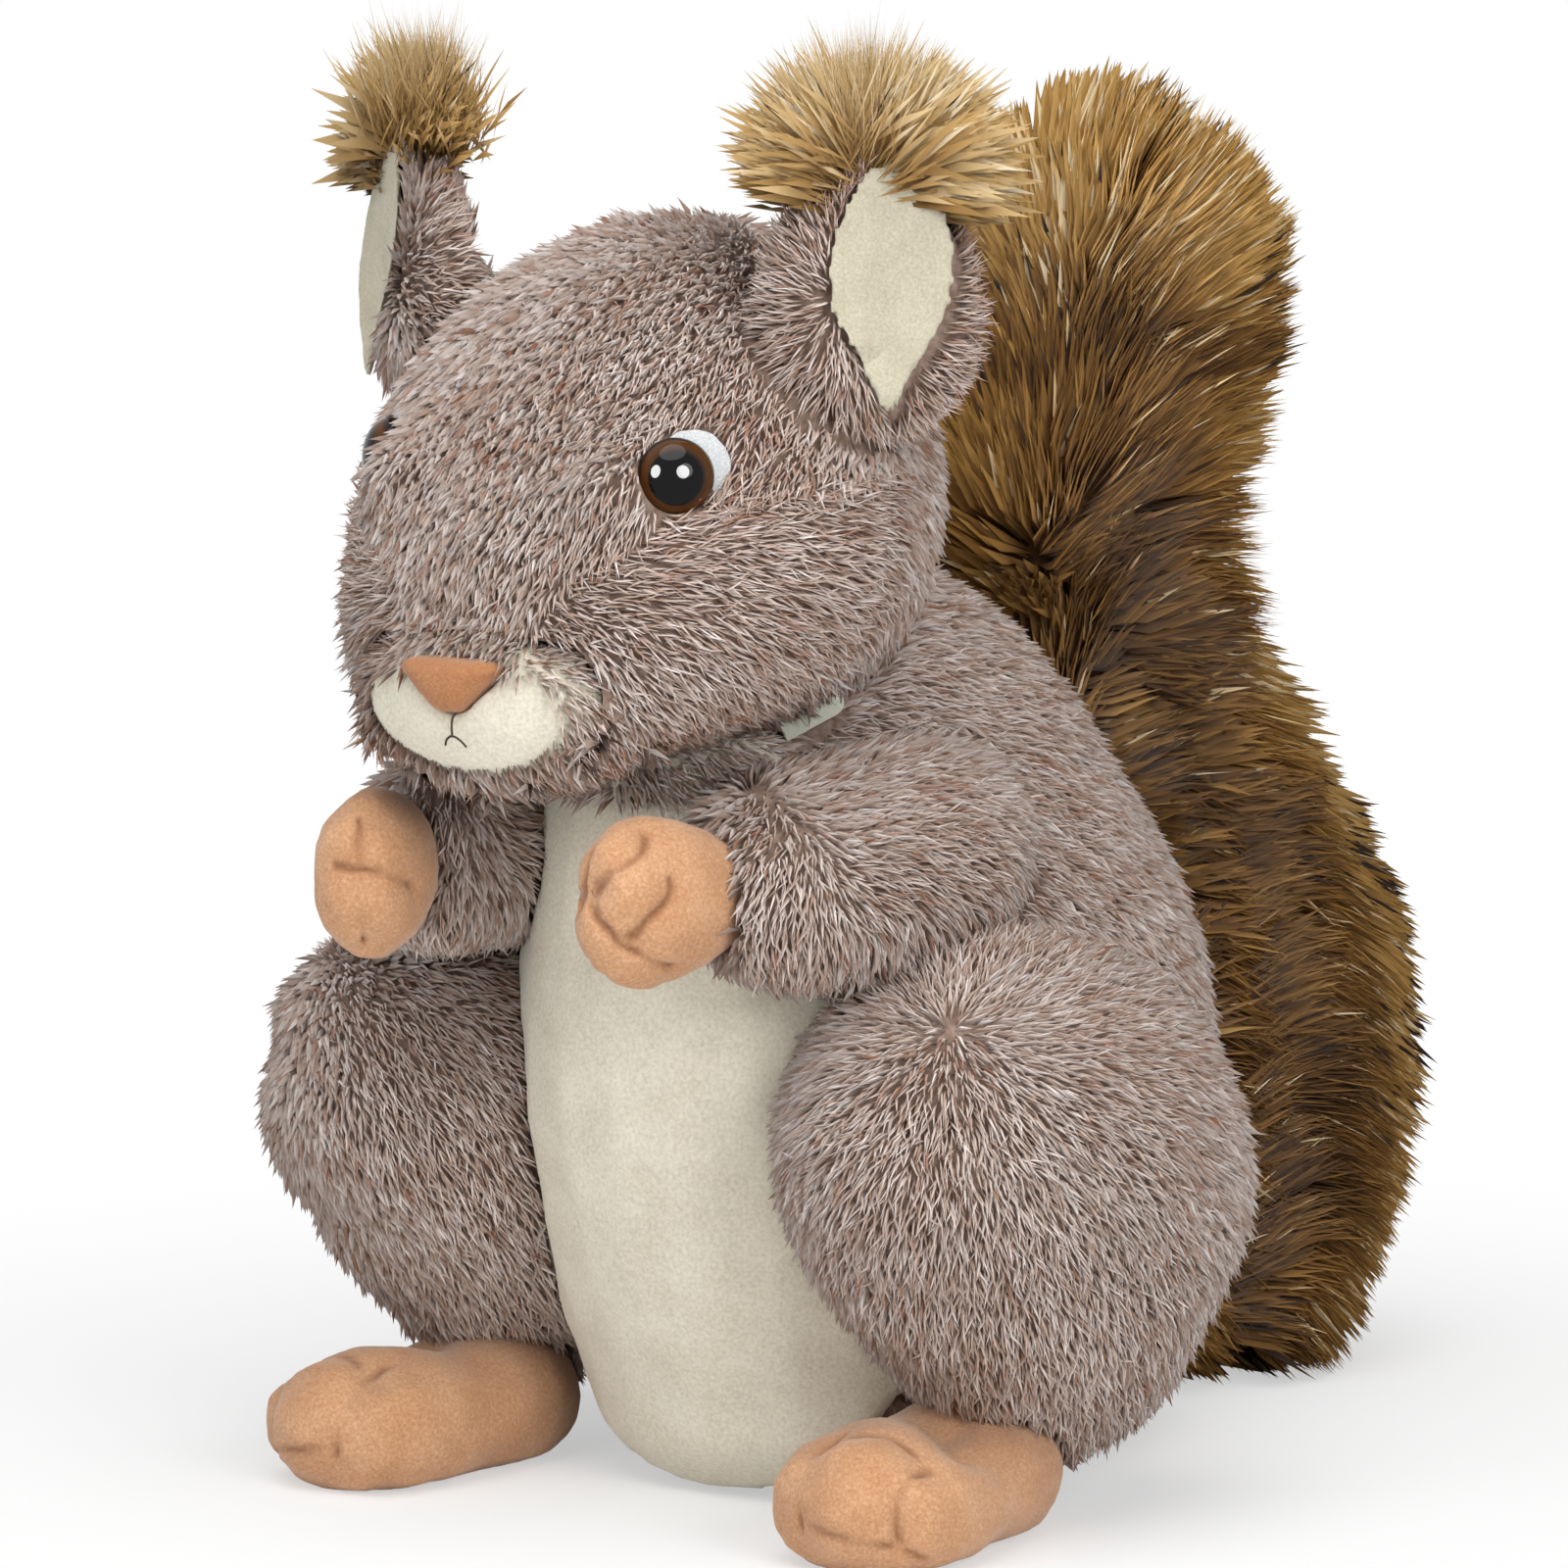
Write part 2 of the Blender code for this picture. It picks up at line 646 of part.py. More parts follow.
def build_ears(head, head_cutter):
    middle = head.matrix_world @ Vector((0, 0, HEAD_LENGTH / 2))
    root, _ = surface_point(head, middle, (math.cos(EAR_PITCH), 0, math.sin(EAR_PITCH)))
    upward = Vector((math.sin(EAR_LEAN), 0, math.cos(EAR_LEAN)))
    # Local y of an ear is its back, so its opening faces local -y
    place = frame(root - upward * EAR_SINK, upward, up=-heading(EAR_YAW))
    rows = sized(EAR_SECTIONS, EAR_HEIGHT, EAR_WIDTH, EAR_DEPTH)
    scoop_rows = sized(LINING_SECTIONS, LINING_LENGTH, LINING_WIDTH, LINING_HOLLOW, -EAR_DEPTH / 2)
    scoop_place = place @ Matrix.Translation((0, -EAR_DEPTH / 2 - LINING_PROUD, LINING_RISE))
    for name, side in SIDES:
        ear = add_skin(f"ear_{name}", FUR, oval_rings(rows, 11, 18), place, side)
        lining = add_skin(f"ear_lining_{name}", CREAM, oval_rings(scoop_rows, 10, 16), scoop_place, side)
        ear_cutter = grown(ear, SEAM_GAP, f"ear_{name}_cutter")
        cut(ear, grown(lining, SEAM_GAP, f"ear_scoop_{name}_cutter"))
        cut(ear, head_cutter)
        cut(lining, grown(ear, 0.0, f"ear_bound_{name}_cutter"), "INTERSECT")
        cut(lining, grown(lining, -LINING_THICKNESS, f"ear_hollow_{name}_cutter"))
        cut(lining, head_cutter)
        build_tuft(name, side, place, ear_cutter)


def build_tuft(name, side, ear_place, ear_cutter):
    """Long hair that fans out of the ear's tip, as one ball whose locks stand out of it."""
    place = ear_place @ Matrix.Translation((0, -TUFT_FORWARD, EAR_HEIGHT - TUFT_SINK))
    turns = np.arange(TUFT_LOCKS * 3) * 2 * math.pi / (TUFT_LOCKS * 3)
    # The hair reaches less far to the back and below
    ahead = TUFT_SIDE_REACH - TUFT_BACK_LOSS * np.sin(turns)
    rings = [[(0, 0, -TUFT_BELOW)]]
    for i, rise in enumerate(np.radians(np.arange(-70, 90, 20))):
        lock = 1 - TUFT_LOCK_DEPTH * (0.5 - 0.5 * np.cos(turns * TUFT_LOCKS + TUFT_TWIST * i))
        reach = TUFT_REACH * ahead * lock * min(1.0, TUFT_MIDDLE_REACH * (1 + math.sin(rise)))
        radius = (TUFT_CORE + reach) * math.cos(rise)
        height = (TUFT_ABOVE if rise > 0 else TUFT_BELOW) * math.sin(rise)
        rings.append(
            [(r * math.cos(t), TUFT_FLATNESS * r * math.sin(t), height) for r, t in zip(radius, turns)]
        )
    rings.append([(0, 0, TUFT_ABOVE)])
    cut(add_skin(f"ear_tuft_{name}", TUFT_HAIR, rings, place, side), ear_cutter)


def build_legs(torso_cutter):
    legs = {}
    rows = sized(LEG_SECTIONS, LEG_HEIGHT, LEG_WIDTH, LEG_DEPTH, LEG_LEAN)
    place = Matrix.Translation((LEG_SPACING / 2, -LEG_FORWARD, LEG_RISE))
    for name, side in SIDES:
        leg = add_skin(f"leg_{name}", FUR, oval_rings(rows, 12, 20), place, side)
        legs[name] = (leg, grown(leg, SEAM_GAP, f"leg_{name}_cutter"))
        cut(leg, torso_cutter)
    return legs


def build_feet(legs, torso_cutter):
    def sole(points):
        points[:, 1] = np.maximum(points[:, 1], -FOOT_MIDDLE)
        return points

    rows = sized(FOOT_SECTIONS, FOOT_LENGTH, FOOT_WIDTH, 2 * (FOOT_HEIGHT - FOOT_MIDDLE))
    ahead = heading(FOOT_YAW)
    middle = Vector((FOOT_SPACING / 2, -FOOT_FORWARD, FOOT_MIDDLE))
    place = frame(middle - ahead * FOOT_LENGTH / 2, ahead)
    for name, side in SIDES:
        rings = oval_rings(rows, 11, 18, shape=lobed(6, TOE_GROOVE / (FOOT_WIDTH / 2), 0.6), warp=sole)
        foot = add_skin(f"foot_{name}", APRICOT, rings, place, side)
        cut(legs[name][0], grown(foot, SEAM_GAP, f"foot_{name}_cutter"))
        cut(foot, torso_cutter)


def build_arms(torso, torso_cutter, head_cutter, legs):
    """A bent, tapering tube from inside the shoulder to the cuff, which the hand is sewn into."""
    start, _ = surface_point(torso, (0, -NECK_LEAN * SHOULDER_LEAN, SHOULDER_HEIGHT), (1, 0, 0))
    start = start - Vector((SHOULDER_SINK, 0, 0))
    point = heading(-HAND_YAW)
    hand_middle = Vector((HAND_SPACING / 2, -HAND_FORWARD, HAND_RISE))
    hand_root = hand_middle - point * HAND_LENGTH / 2
    cuff = hand_root + point * HAND_SUNK
    elbow = (start + cuff) / 2 + Vector((ELBOW_OUT, 0, -ELBOW_DROP))
    place = frame(hand_root, point)
    hand_rows = sized(HAND_SECTIONS, HAND_LENGTH, HAND_THICKNESS, HAND_WIDTH)
    arm_cutters = []
    for name, side in SIDES:
        rings = oval_rings(hand_rows, 10, 18, shape=lobed(6, FINGER_GROOVE / (HAND_WIDTH / 2), 0.4))
        hand = add_skin(f"hand_{name}", APRICOT, rings, place, side)
        arm = add_skin(f"arm_{name}", FUR, bent_rings(start, elbow, cuff, 11, 18), Matrix.Identity(4), side)
        for cutter in (
            grown(hand, SEAM_GAP, f"hand_{name}_cutter"),
            torso_cutter,
            head_cutter,
            legs[name][1],
        ):
            cut(arm, cutter)
        arm_cutters.append(grown(arm, SEAM_GAP, f"arm_{name}_cutter"))
    return arm_cutters


def bent_rings(start, elbow, end, count, sides):
    """Round rings across a curve from start to end by the elbow, with a rounded cap at each."""
    turns = np.arange(sides) * 2 * math.pi / sides
    rings = []
    for share in np.linspace(0, 1, count):
        s = 0.5 - 0.5 * math.cos(math.pi * share)
        at = start * (1 - s) * (1 - 2 * s) + elbow * 4 * s * (1 - s) + end * s * (2 * s - 1)
        along = (start * (4 * s - 3) + elbow * (4 - 8 * s) + end * (4 * s - 1)).normalized()
        thick = ARM_THICKNESS + (CUFF_THICKNESS - ARM_THICKNESS) * s
        if share in (0, 1):
            rings.append([at])
            continue
        radius = thick / 2 * min(1.0, math.sin(math.pi * share) * ARM_END_FULLNESS) ** ARM_END_BLUNTNESS
        x = Vector((0, 0, 1)).cross(along).normalized()
        y = along.cross(x)
        rings.append([at + (x * math.cos(t) + y * math.sin(t)) * radius for t in turns])
    return rings


def build_tail(torso_cutter):
    def locks(place, angles):
        """Locks lie in bands up the tail, each band half a lock round from the one below, and the same
        on both sides of its back."""
        fade = math.sin(math.pi * min(max(place, 0.0), 1.0)) ** 0.5
        wave = np.cos(LOCKS_ROUND * (angles - math.pi / 2)) * math.cos(2 * math.pi * LOCK_BANDS * place)
        return 1 + 2 * LOCK_DEPTH / TAIL_WIDTH * wave * fade

    rows = sized(TAIL_SECTIONS, TAIL_HEIGHT, TAIL_WIDTH, TAIL_DEPTH, TAIL_SWAY)
    back = (TORSO_DEPTH + TAIL_DEPTH) / 2 - TAIL_OVERLAP
    place = Matrix.Translation((0, back, 0))
    tail = add_skin("tail", TAIL_HAIR, oval_rings(rows, 20, 24, shape=locks), place)
    cut(tail, torso_cutter)


def main():
    clear_scene()
    torso = build_torso()
    torso_cutter = grown(torso, SEAM_GAP, "torso_cutter")
    head = build_head()
    head_cutter = grown(head, SEAM_GAP, "head_cutter")
    cut(torso, head_cutter)
    panel = build_belly_panel(torso)
    muzzle = build_muzzle(head)
    nose = build_nose(muzzle)
    nose_cutter = grown(nose, SEAM_GAP, "nose_cutter")
    build_mouth(muzzle, nose, nose_cutter)
    cut(head, grown(muzzle, SEAM_GAP, "muzzle_cutter"))
    cut(head, nose_cutter)
    cut(muzzle, nose_cutter)
    build_eyes(head)
    build_ears(head, head_cutter)
    legs = build_legs(torso_cutter)
    build_feet(legs, torso_cutter)
    arm_cutters = build_arms(torso, torso_cutter, head_cutter, legs)
    build_tail(torso_cutter)
    build_label(torso, (torso_cutter, head_cutter))
    leg_cutters = [cutter for _, cutter in legs.values()]
    for cutter in (torso_cutter, head_cutter, *leg_cutters, *arm_cutters):
        cut(panel, cutter)


main()
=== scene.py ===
import logging
import math
from collections.abc import Callable, Sequence
from dataclasses import dataclass, field
from enum import Enum

import bmesh
import bpy
import numpy as np
from mathutils import Matrix, Vector
from mathutils.bvhtree import BVHTree


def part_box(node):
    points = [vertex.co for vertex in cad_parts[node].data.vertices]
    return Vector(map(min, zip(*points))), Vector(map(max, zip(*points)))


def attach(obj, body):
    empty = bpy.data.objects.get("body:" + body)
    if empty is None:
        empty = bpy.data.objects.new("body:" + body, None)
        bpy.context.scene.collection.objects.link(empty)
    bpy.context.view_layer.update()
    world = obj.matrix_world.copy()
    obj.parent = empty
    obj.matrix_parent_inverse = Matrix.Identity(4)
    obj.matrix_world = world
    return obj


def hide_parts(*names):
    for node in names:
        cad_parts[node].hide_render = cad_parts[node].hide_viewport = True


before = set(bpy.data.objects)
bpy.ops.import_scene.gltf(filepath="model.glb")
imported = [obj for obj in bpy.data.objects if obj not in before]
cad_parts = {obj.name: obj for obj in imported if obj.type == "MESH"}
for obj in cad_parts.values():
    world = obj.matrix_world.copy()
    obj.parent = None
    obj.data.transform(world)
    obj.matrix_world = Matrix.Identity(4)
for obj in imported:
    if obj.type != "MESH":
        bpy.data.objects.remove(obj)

MM = 0.001
# Four faces a strand, and under 200,000 a piece
MOST_STRANDS = 49_000
# The thinnest and the thickest strand, as a share of its kind's width
WIDTHS = (0.7, 1.3)
# The sizes of the blobs in which the fur's colour drifts, and the share of each
PATCHES = ((22 * MM, 0.6), (7 * MM, 0.4))
BODY = "root"
DOWN = np.array((0.0, 0.0, -1.0))
SIDES = (("left", 1), ("right", -1))
LOG = logging.getLogger("plush_squirrel")

Object = bpy.types.Object
Material = bpy.types.Material
Socket = bpy.types.NodeSocket
Array = np.ndarray
Field = Callable[[Array, Array], Array]
Triple = tuple[float, float, float]


class Slot(Enum):
    """The record's material slots."""

    FUR = "brown_fur"
    CREAM = "cream_plush"
    APRICOT = "apricot_plush"
    TUFT = "tuft_hair"
    TAIL = "tail_hair"
    EYE = "eye_plastic"
    FELT = "white_felt"
    NYLON = "nylon"
    THREAD = "dark_thread"
    LABEL = "label_cloth"


# Colour and material nodes


def linear(code: str) -> tuple[float, float, float, float]:
    """An sRGB hex colour as linear light.

    Args:
        code: six hex digits, such as "d8cfca".

    Returns:
        Red, green, blue and an alpha of 1.
    """
    parts = [int(code[i : i + 2], 16) / 255 for i in (0, 2, 4)]
    return (*(c / 12.92 if c <= 0.04045 else ((c + 0.055) / 1.055) ** 2.4 for c in parts), 1.0)


def add_node(
    material: Material,
    kind: str,
    inputs: dict[int | str, object] | None = None,
    stops: Sequence[tuple[float, str]] = (),
    **settings: object,
) -> bpy.types.Node:
    """Adds a node with its settings and links.

    Args:
        material: the material or world that it goes in.
        kind: the node's type.
        inputs: a value for each input, or the output of another node that feeds it.
        stops: places and hex colours of a colour ramp.
        **settings: the node's own properties.

    Returns:
        The new node.
    """
    tree = material.node_tree
    node = tree.nodes.new(kind)
    for name, value in settings.items():
        setattr(node, name, value)
    for name, value in (inputs or {}).items():
        if isinstance(value, Socket):
            tree.links.new(value, node.inputs[name])
        else:
            node.inputs[name].default_value = value
    for i, (place, code) in enumerate(stops):
        elements = node.color_ramp.elements
        stop = elements[i] if i < len(elements) else elements.new(place)
        stop.position = place
        stop.color = linear(code)
    return node


def new_material(name: str) -> Material:
    """An empty material, named for what the finish is."""
    material = bpy.data.materials.new(name)
    material.use_nodes = True
    material.node_tree.nodes.clear()
    return material


def shaded(material: Material, inputs: dict[int | str, object]) -> Material:
    """Ends a material with its shader.

    Args:
        material: with all its other nodes.
        inputs: the values and outputs that feed the Principled shader.

    Returns:
        The same material.
    """
    shader = add_node(material, "ShaderNodeBsdfPrincipled", inputs)
    add_node(material, "ShaderNodeOutputMaterial", {"Surface": shader.outputs[0]})
    return material


def grained(material: Material, size: float, detail: float, dark: str, light: str) -> tuple[Socket, Socket]:
    """A fine grain between two colours, with painted shade in its hollows.

    Args:
        material: that it goes in.
        size: of the grain, in metres.
        detail: how many finer grains lie over it.
        dark: the colour of its hollows, which is painted shade.
        light: the colour of its tops.

    Returns:
        The outputs for its height and its colour.
    """
    place = add_node(material, "ShaderNodeTexCoord")
    noise = add_node(
        material, "ShaderNodeTexNoise", {"Vector": place.outputs["Object"], "Scale": 1 / size, "Detail": detail}
    )
    ramp = add_node(material, "ShaderNodeValToRGB", {0: noise.outputs[0]}, stops=((0.35, dark), (0.65, light)))
    return noise.outputs[0], ramp.outputs[0]


# Finishes


@dataclass(frozen=True)
class Hair:
    """Acrylic pile, knitted into a backing and sheared: each fibre is dark at its root and pale at its tip,
    partly its own colour and partly painted shade of the pile's depth, and its colour differs from its
    neighbours'. A strand's map gives the fibre's shade across, and the way from root to tip along it."""

    name: str
    roots: tuple[tuple[float, str], ...]
    tips: tuple[tuple[float, str], ...]
    roughness: float = 0.62
    specular: float = 0.08
    turn: tuple[float, float] = (0.1, 0.75)

    def build(self) -> Material:
        """The material that all strands of this pile share."""
        material = new_material(self.name)
        place = add_node(material, "ShaderNodeUVMap", uv_map="OFBake")
        across, along = add_node(material, "ShaderNodeSeparateXYZ", {0: place.outputs[0]}).outputs[:2]
        # The darker roots are partly the fibres' own colour and partly painted shade of the pile's depth
        root, tip = (
            add_node(material, "ShaderNodeValToRGB", {0: across}, stops=stops) for stops in (self.roots, self.tips)
        )
        share = add_node(
            material, "ShaderNodeMapRange",
            {0: along, 1: self.turn[0], 2: self.turn[1]}, interpolation_type="SMOOTHSTEP",
        )
        colour = add_node(
            material, "ShaderNodeMix",
            {0: share.outputs[0], 6: root.outputs[0], 7: tip.outputs[0]}, data_type="RGBA",
        )
        return shaded(
            material,
            {"Base Color": colour.outputs[2], "Roughness": self.roughness, "Specular IOR Level": self.specular},
        )


@dataclass(frozen=True)
class Backing:
    """The knitted backing between the roots of the pile: it is seen only as the dark of the gaps."""

    name: str
    dark: str
    light: str
    streak: float = 2.4 * MM

    def build(self) -> Material:
        """The material of a stuffed form under its pile."""
        material = new_material(self.name)
        _, colour = grained(material, self.streak, 3.0, self.dark, self.light)
        return shaded(material, {"Base Color": colour, "Roughness": 1.0, "Specular IOR Level": 0.1})


@dataclass(frozen=True)
class Plush:
    """Short polyester plush with a pile of about 1.5 mm: each tuft of fibres leans its own way, which mottles
    the colour, and the tips at a glancing angle catch a soft sheen. The mottle is partly painted shade, darker
    where the bump's tufts sink, and partly a slow drift of tone. The tufts are drawn 0.7 to 1.1 mm wide, a
    little coarser than life, so that they show. A stitched line, which the mesh's attribute tells, is painted
    darker in its groove, as painted shade."""

    name: str
    dark: str
    middle: str
    light: str
    tuft: float = 1.1 * MM
    lift: float = 0.45 * MM
    # The colour of the painted shade in a stitched line's groove
    painted_crease_shade: str = "8c5a36"
    patch: float = 14

    def build(self) -> Material:
        """The material of a plush panel."""
        material = new_material(self.name)
        place = add_node(material, "ShaderNodeTexCoord").outputs["Object"]
        tufts, patches = (
            add_node(
                material, "ShaderNodeTexNoise",
                {"Vector": place, "Scale": 1 / size, "Detail": detail, "Roughness": rough},
            ).outputs[0]
            for size, detail, rough in ((self.tuft, 3.0, 0.6), (self.patch * self.tuft, 2.0, 0.5))
        )
        # The mottle is partly painted shade: the same tufts make the bump, and the colour is darker where they sink
        both = add_node(material, "ShaderNodeMix", {0: 0.3, 2: tufts, 3: patches}, data_type="FLOAT")
        ramp = add_node(
            material, "ShaderNodeValToRGB", {0: both.outputs[0]},
            stops=((0.3, self.dark), (0.5, self.middle), (0.68, self.light)),
        )
        # Painted shade along stitched lines, where the mesh's attribute marks them
        painted_crease_shade = add_node(material, "ShaderNodeAttribute", attribute_name="painted_crease_shade")
        colour = add_node(
            material, "ShaderNodeMix",
            {0: painted_crease_shade.outputs["Fac"], 6: ramp.outputs[0], 7: linear(self.painted_crease_shade)}, data_type="RGBA",
        )
        bump = add_node(material, "ShaderNodeBump", {"Height": tufts, "Strength": 0.5, "Distance": self.lift})
        return shaded(
            material,
            {
                "Base Color": colour.outputs[2], "Normal": bump.outputs[0], "Roughness": 0.9,
                "Specular IOR Level": 0.2, "Sheen Weight": 0.25, "Sheen Roughness": 0.5,
            },
        )


@dataclass(frozen=True)
class Cloth:
    """A plain textile, such as felt, twisted thread or woven tape, as fine grain in one colour, with painted
    shade in the grain's hollows.
    """

    name: str
    dark: str
    light: str
    grain: float
    roughness: float = 0.9

    def build(self) -> Material:
        """The material of the textile."""
        material = new_material(self.name)
        # The grain is darker where the bump sinks: painted shade in its hollows
        height, colour = grained(material, self.grain, 4.0, self.dark, self.light)
        bump = add_node(material, "ShaderNodeBump", {"Height": height, "Strength": 0.4, "Distance": self.grain / 4})
        return shaded(
            material,
            {"Base Color": colour, "Normal": bump.outputs[0], "Roughness": self.roughness, "Specular IOR Level": 0.2},
        )


@dataclass(frozen=True)
class EyePlastic:
    """Moulded clear acrylic, painted behind: a brown iris, darker at its edge, round a black pupil, under a
    polished dome that mirrors the lamps."""

    name: str
    pupil: str = "050506"
    iris_inner: str = "241308"
    iris: str = "4f2e10"
    edge: str = "100804"
    pupil_share: float = 0.7
    pupil_shift: tuple[float, float] = (0.6 * MM, 0.4 * MM)
    blur: float = 0.02

    def build(self, place: Matrix, radius: float, side: int) -> Material:
        """The eye's material.

        Args:
            place: the eye's own frame, with z along the way that it faces.
            radius: of the eye.
            side: 1 for the left eye and -1 for the right.

        Returns:
            A material whose rings are centred on this eye.
        """
        material = new_material(self.name)
        coords = add_node(material, "ShaderNodeTexCoord")
        local = add_node(
            material, "ShaderNodeMapping",
            {"Vector": coords.outputs["Object"], "Location": place.translation, "Rotation": place.to_euler()},
            vector_type="TEXTURE",
        )
        flat = add_node(
            material, "ShaderNodeVectorMath", {0: local.outputs[0], 1: (1.0, 1.0, 0.0)}, operation="MULTIPLY"
        )
        shares: list[Socket] = []
        for off in ((0.0, 0.0, 0.0), (self.pupil_shift[0] * side, self.pupil_shift[1], 0.0)):
            aside = add_node(material, "ShaderNodeVectorMath", {0: flat.outputs[0], 1: off}, operation="ADD")
            far = add_node(material, "ShaderNodeVectorMath", {0: aside.outputs[0]}, operation="LENGTH")
            share = add_node(material, "ShaderNodeMath", {0: far.outputs["Value"], 1: radius}, operation="DIVIDE")
            shares.append(share.outputs[0])
        p = self.pupil_share
        iris = add_node(
            material, "ShaderNodeValToRGB", {0: shares[0]},
            stops=((p - 0.05, self.iris_inner), (p + 0.14, self.iris), (p + 0.2, self.iris), (0.98, self.edge)),
        )
        pupil = add_node(
            material, "ShaderNodeMapRange",
            {0: shares[1], 1: p - self.blur, 2: p + self.blur}, interpolation_type="SMOOTHSTEP",
        )
        both = add_node(
            material, "ShaderNodeMix",
            {0: pupil.outputs[0], 6: linear(self.pupil), 7: iris.outputs[0]}, data_type="RGBA",
        )
        return shaded(
            material, {"Base Color": both.outputs[2], "Roughness": 0.04, "IOR": 1.49, "Specular IOR Level": 0.2}
        )


@dataclass(frozen=True)
class Nylon:
    """Moulded white nylon, a little waxy."""

    name: str
    colour: str = "e8e8e4"

    def build(self) -> Material:
        """The material of the lock washers."""
        return shaded(new_material(self.name), {"Base Color": linear(self.colour), "Roughness": 0.45})


FUR_HAIR = Hair(
    "grey-brown acrylic pile",
    roots=((0.0, "745b4d"), (0.5, "8f786a"), (1.0, "a8968a")),
    tips=((0.0, "96694f"), (0.22, "ac8b79"), (0.5, "c2afa4"), (0.75, "d5c7c0"), (1.0, "e9dfda")),
)
TAIL_HAIR = Hair(
    "long golden-brown acrylic pile",
    roots=((0.0, "1c1009"), (0.2, "4a2c13"), (0.5, "7f5a2a"), (1.0, "9a763f")),
    tips=(
        (0.0, "261910"), (0.1, "4a3015"), (0.3, "835c2a"), (0.5, "b08748"), (0.7, "cda567"), (0.86, "ead7b2"),
        (0.9, "3a2a20"), (1.0, "2e221b"),
    ),
    turn=(0.05, 0.6),
)
TUFT_HAIR = Hair(
    "long tan acrylic pile",
    roots=((0.0, "3a2a1a"), (0.2, "8a6636"), (1.0, "a98550")),
    tips=((0.0, "2a1f16"), (0.12, "3a2a1c"), (0.2, "9c7743"), (0.5, "c19c63"), (0.8, "d6b988"), (1.0, "ead9ba")),
    turn=(0.1, 0.85),
)
FUR_BACKING = Backing("knitted backing, grey-brown", "7d6659", "998478")
TAIL_BACKING = Backing("knitted backing, dark brown", "35220f", "5c3f1a")
CREAM_PLUSH = Plush("short cream plush", "c9c1ac", "dcd5c2", "e9e4d3")
# The same cream plush in a greyer, darker copy: painted shade of the ear's hollow
SHADED_LINING_PLUSH = Plush(
    "short cream plush, closely sheared", "a39b84", "b4ad97", "c3bda9", tuft=0.8 * MM, lift=0.15 * MM
)
APRICOT_PLUSH = Plush("short apricot plush", "ac774e", "c08f66", "d2a681", tuft=0.9 * MM)
NOSE_PLUSH = Plush(
    "short apricot plush, dyed darker", "955e34", "a87043", "ba8459", tuft=0.7 * MM, lift=0.2 * MM
)
FELT = Cloth("pressed polyester felt", "b9bcbd", "d6d9da", 0.5 * MM)
THREAD = Cloth("twisted polyester thread", "2b1c13", "4a3425", 0.3 * MM)
LABEL_TAPE = Cloth("woven polyester tape", "b9baa8", "cfd0c0", 0.4 * MM, roughness=0.7)
EYE_PLASTIC = EyePlastic("moulded acrylic")
LOCK_NYLON = Nylon("moulded nylon")


# Meshes


def deselect() -> None:
    bpy.ops.object.select_all(action="DESELECT")


def pick(piece: Object) -> None:
    """Only this piece is selected and active."""
    deselect()
    piece.select_set(True)
    bpy.context.view_layer.objects.active = piece


def apply(piece: Object, kind: str, **settings: object) -> None:
    """Adds a modifier and applies it.

    Args:
        piece: the object that it works on.
        kind: the modifier's type.
        **settings: its properties.
    """
    pick(piece)
    made = piece.modifiers.new(kind, kind)
    for name, value in settings.items():
        setattr(made, name, value)
    bpy.ops.object.modifier_apply(modifier=made.name)


def node_mesh(names: Sequence[str], label: str) -> Object:
    """A merged copy of one or more CAD nodes, as a new object.

    Args:
        names: the nodes.
        label: the new object's name.

    Returns:
        The object, at the origin.
    """
    made = bmesh.new()
    for name in names:
        made.from_mesh(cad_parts[name].data)
    bmesh.ops.remove_doubles(made, verts=made.verts, dist=0.01 * MM)
    mesh = bpy.data.meshes.new(label)
    made.to_mesh(mesh)
    made.free()
    piece = bpy.data.objects.new(label, mesh)
    bpy.context.collection.objects.link(piece)
    return piece


def points_of(piece: Object) -> Array:
    """The piece's vertices, one row each."""
    flat = np.empty(len(piece.data.vertices) * 3)
    piece.data.vertices.foreach_get("co", flat)
    return flat.reshape(-1, 3)


def normals_of(piece: Object) -> Array:
    """The piece's vertex normals, one row each."""
    flat = np.empty(len(piece.data.vertices) * 3)
    piece.data.vertex_normals.foreach_get("vector", flat)
    return flat.reshape(-1, 3)


def set_points(piece: Object, points: Array) -> None:
    """Moves the piece's vertices.

    Args:
        piece: the object.
        points: one row for each vertex.
    """
    piece.data.vertices.foreach_set("co", points.ravel())
    piece.data.update()


def evened(piece: Object, values: Array, rounds: int) -> Array:
    """Values at the vertices, averaged with their neighbours'.

    Args:
        piece: the object whose edges tell who is next to whom.
        values: one for each vertex.
        rounds: how often.

    Returns:
        The smoother values.
    """
    edges = np.empty(len(piece.data.edges) * 2, dtype=np.int64)
    piece.data.edges.foreach_get("vertices", edges)
    ends = edges.reshape(-1, 2)
    start = np.concatenate([ends[:, 0], ends[:, 1]])
    other = np.concatenate([ends[:, 1], ends[:, 0]])
    count = np.maximum(np.bincount(start, minlength=len(values)), 1)
    for _ in range(rounds):
        values = (values + np.bincount(start, values[other], minlength=len(values)) / count) / 2
    return values


def unit(rows: Array) -> Array:
    """Rows scaled to a length of 1."""
    return rows / np.maximum(np.linalg.norm(rows, axis=-1, keepdims=True), 1e-9)


def smoothstep(values: Array, low: float, high: float) -> Array:
    """0 below low and 1 above high, with a soft change between them."""
    share = np.clip((values - low) / (high - low), 0, 1)
    return share * share * (3 - 2 * share)


def blend(first: Array, second: Array, share: Array) -> Array:
    """Rows that turn from the first to the second as their share goes from 0 to 1."""
    return first * (1 - share[:, None]) + second * share[:, None]


def outward(points: Array, way: Triple) -> Array:
    """A way that is given for the left side, as each point's own side has it."""
    rows = np.tile(np.array(way), (len(points), 1))
    rows[:, 0] *= np.sign(points[:, 0])
    return rows


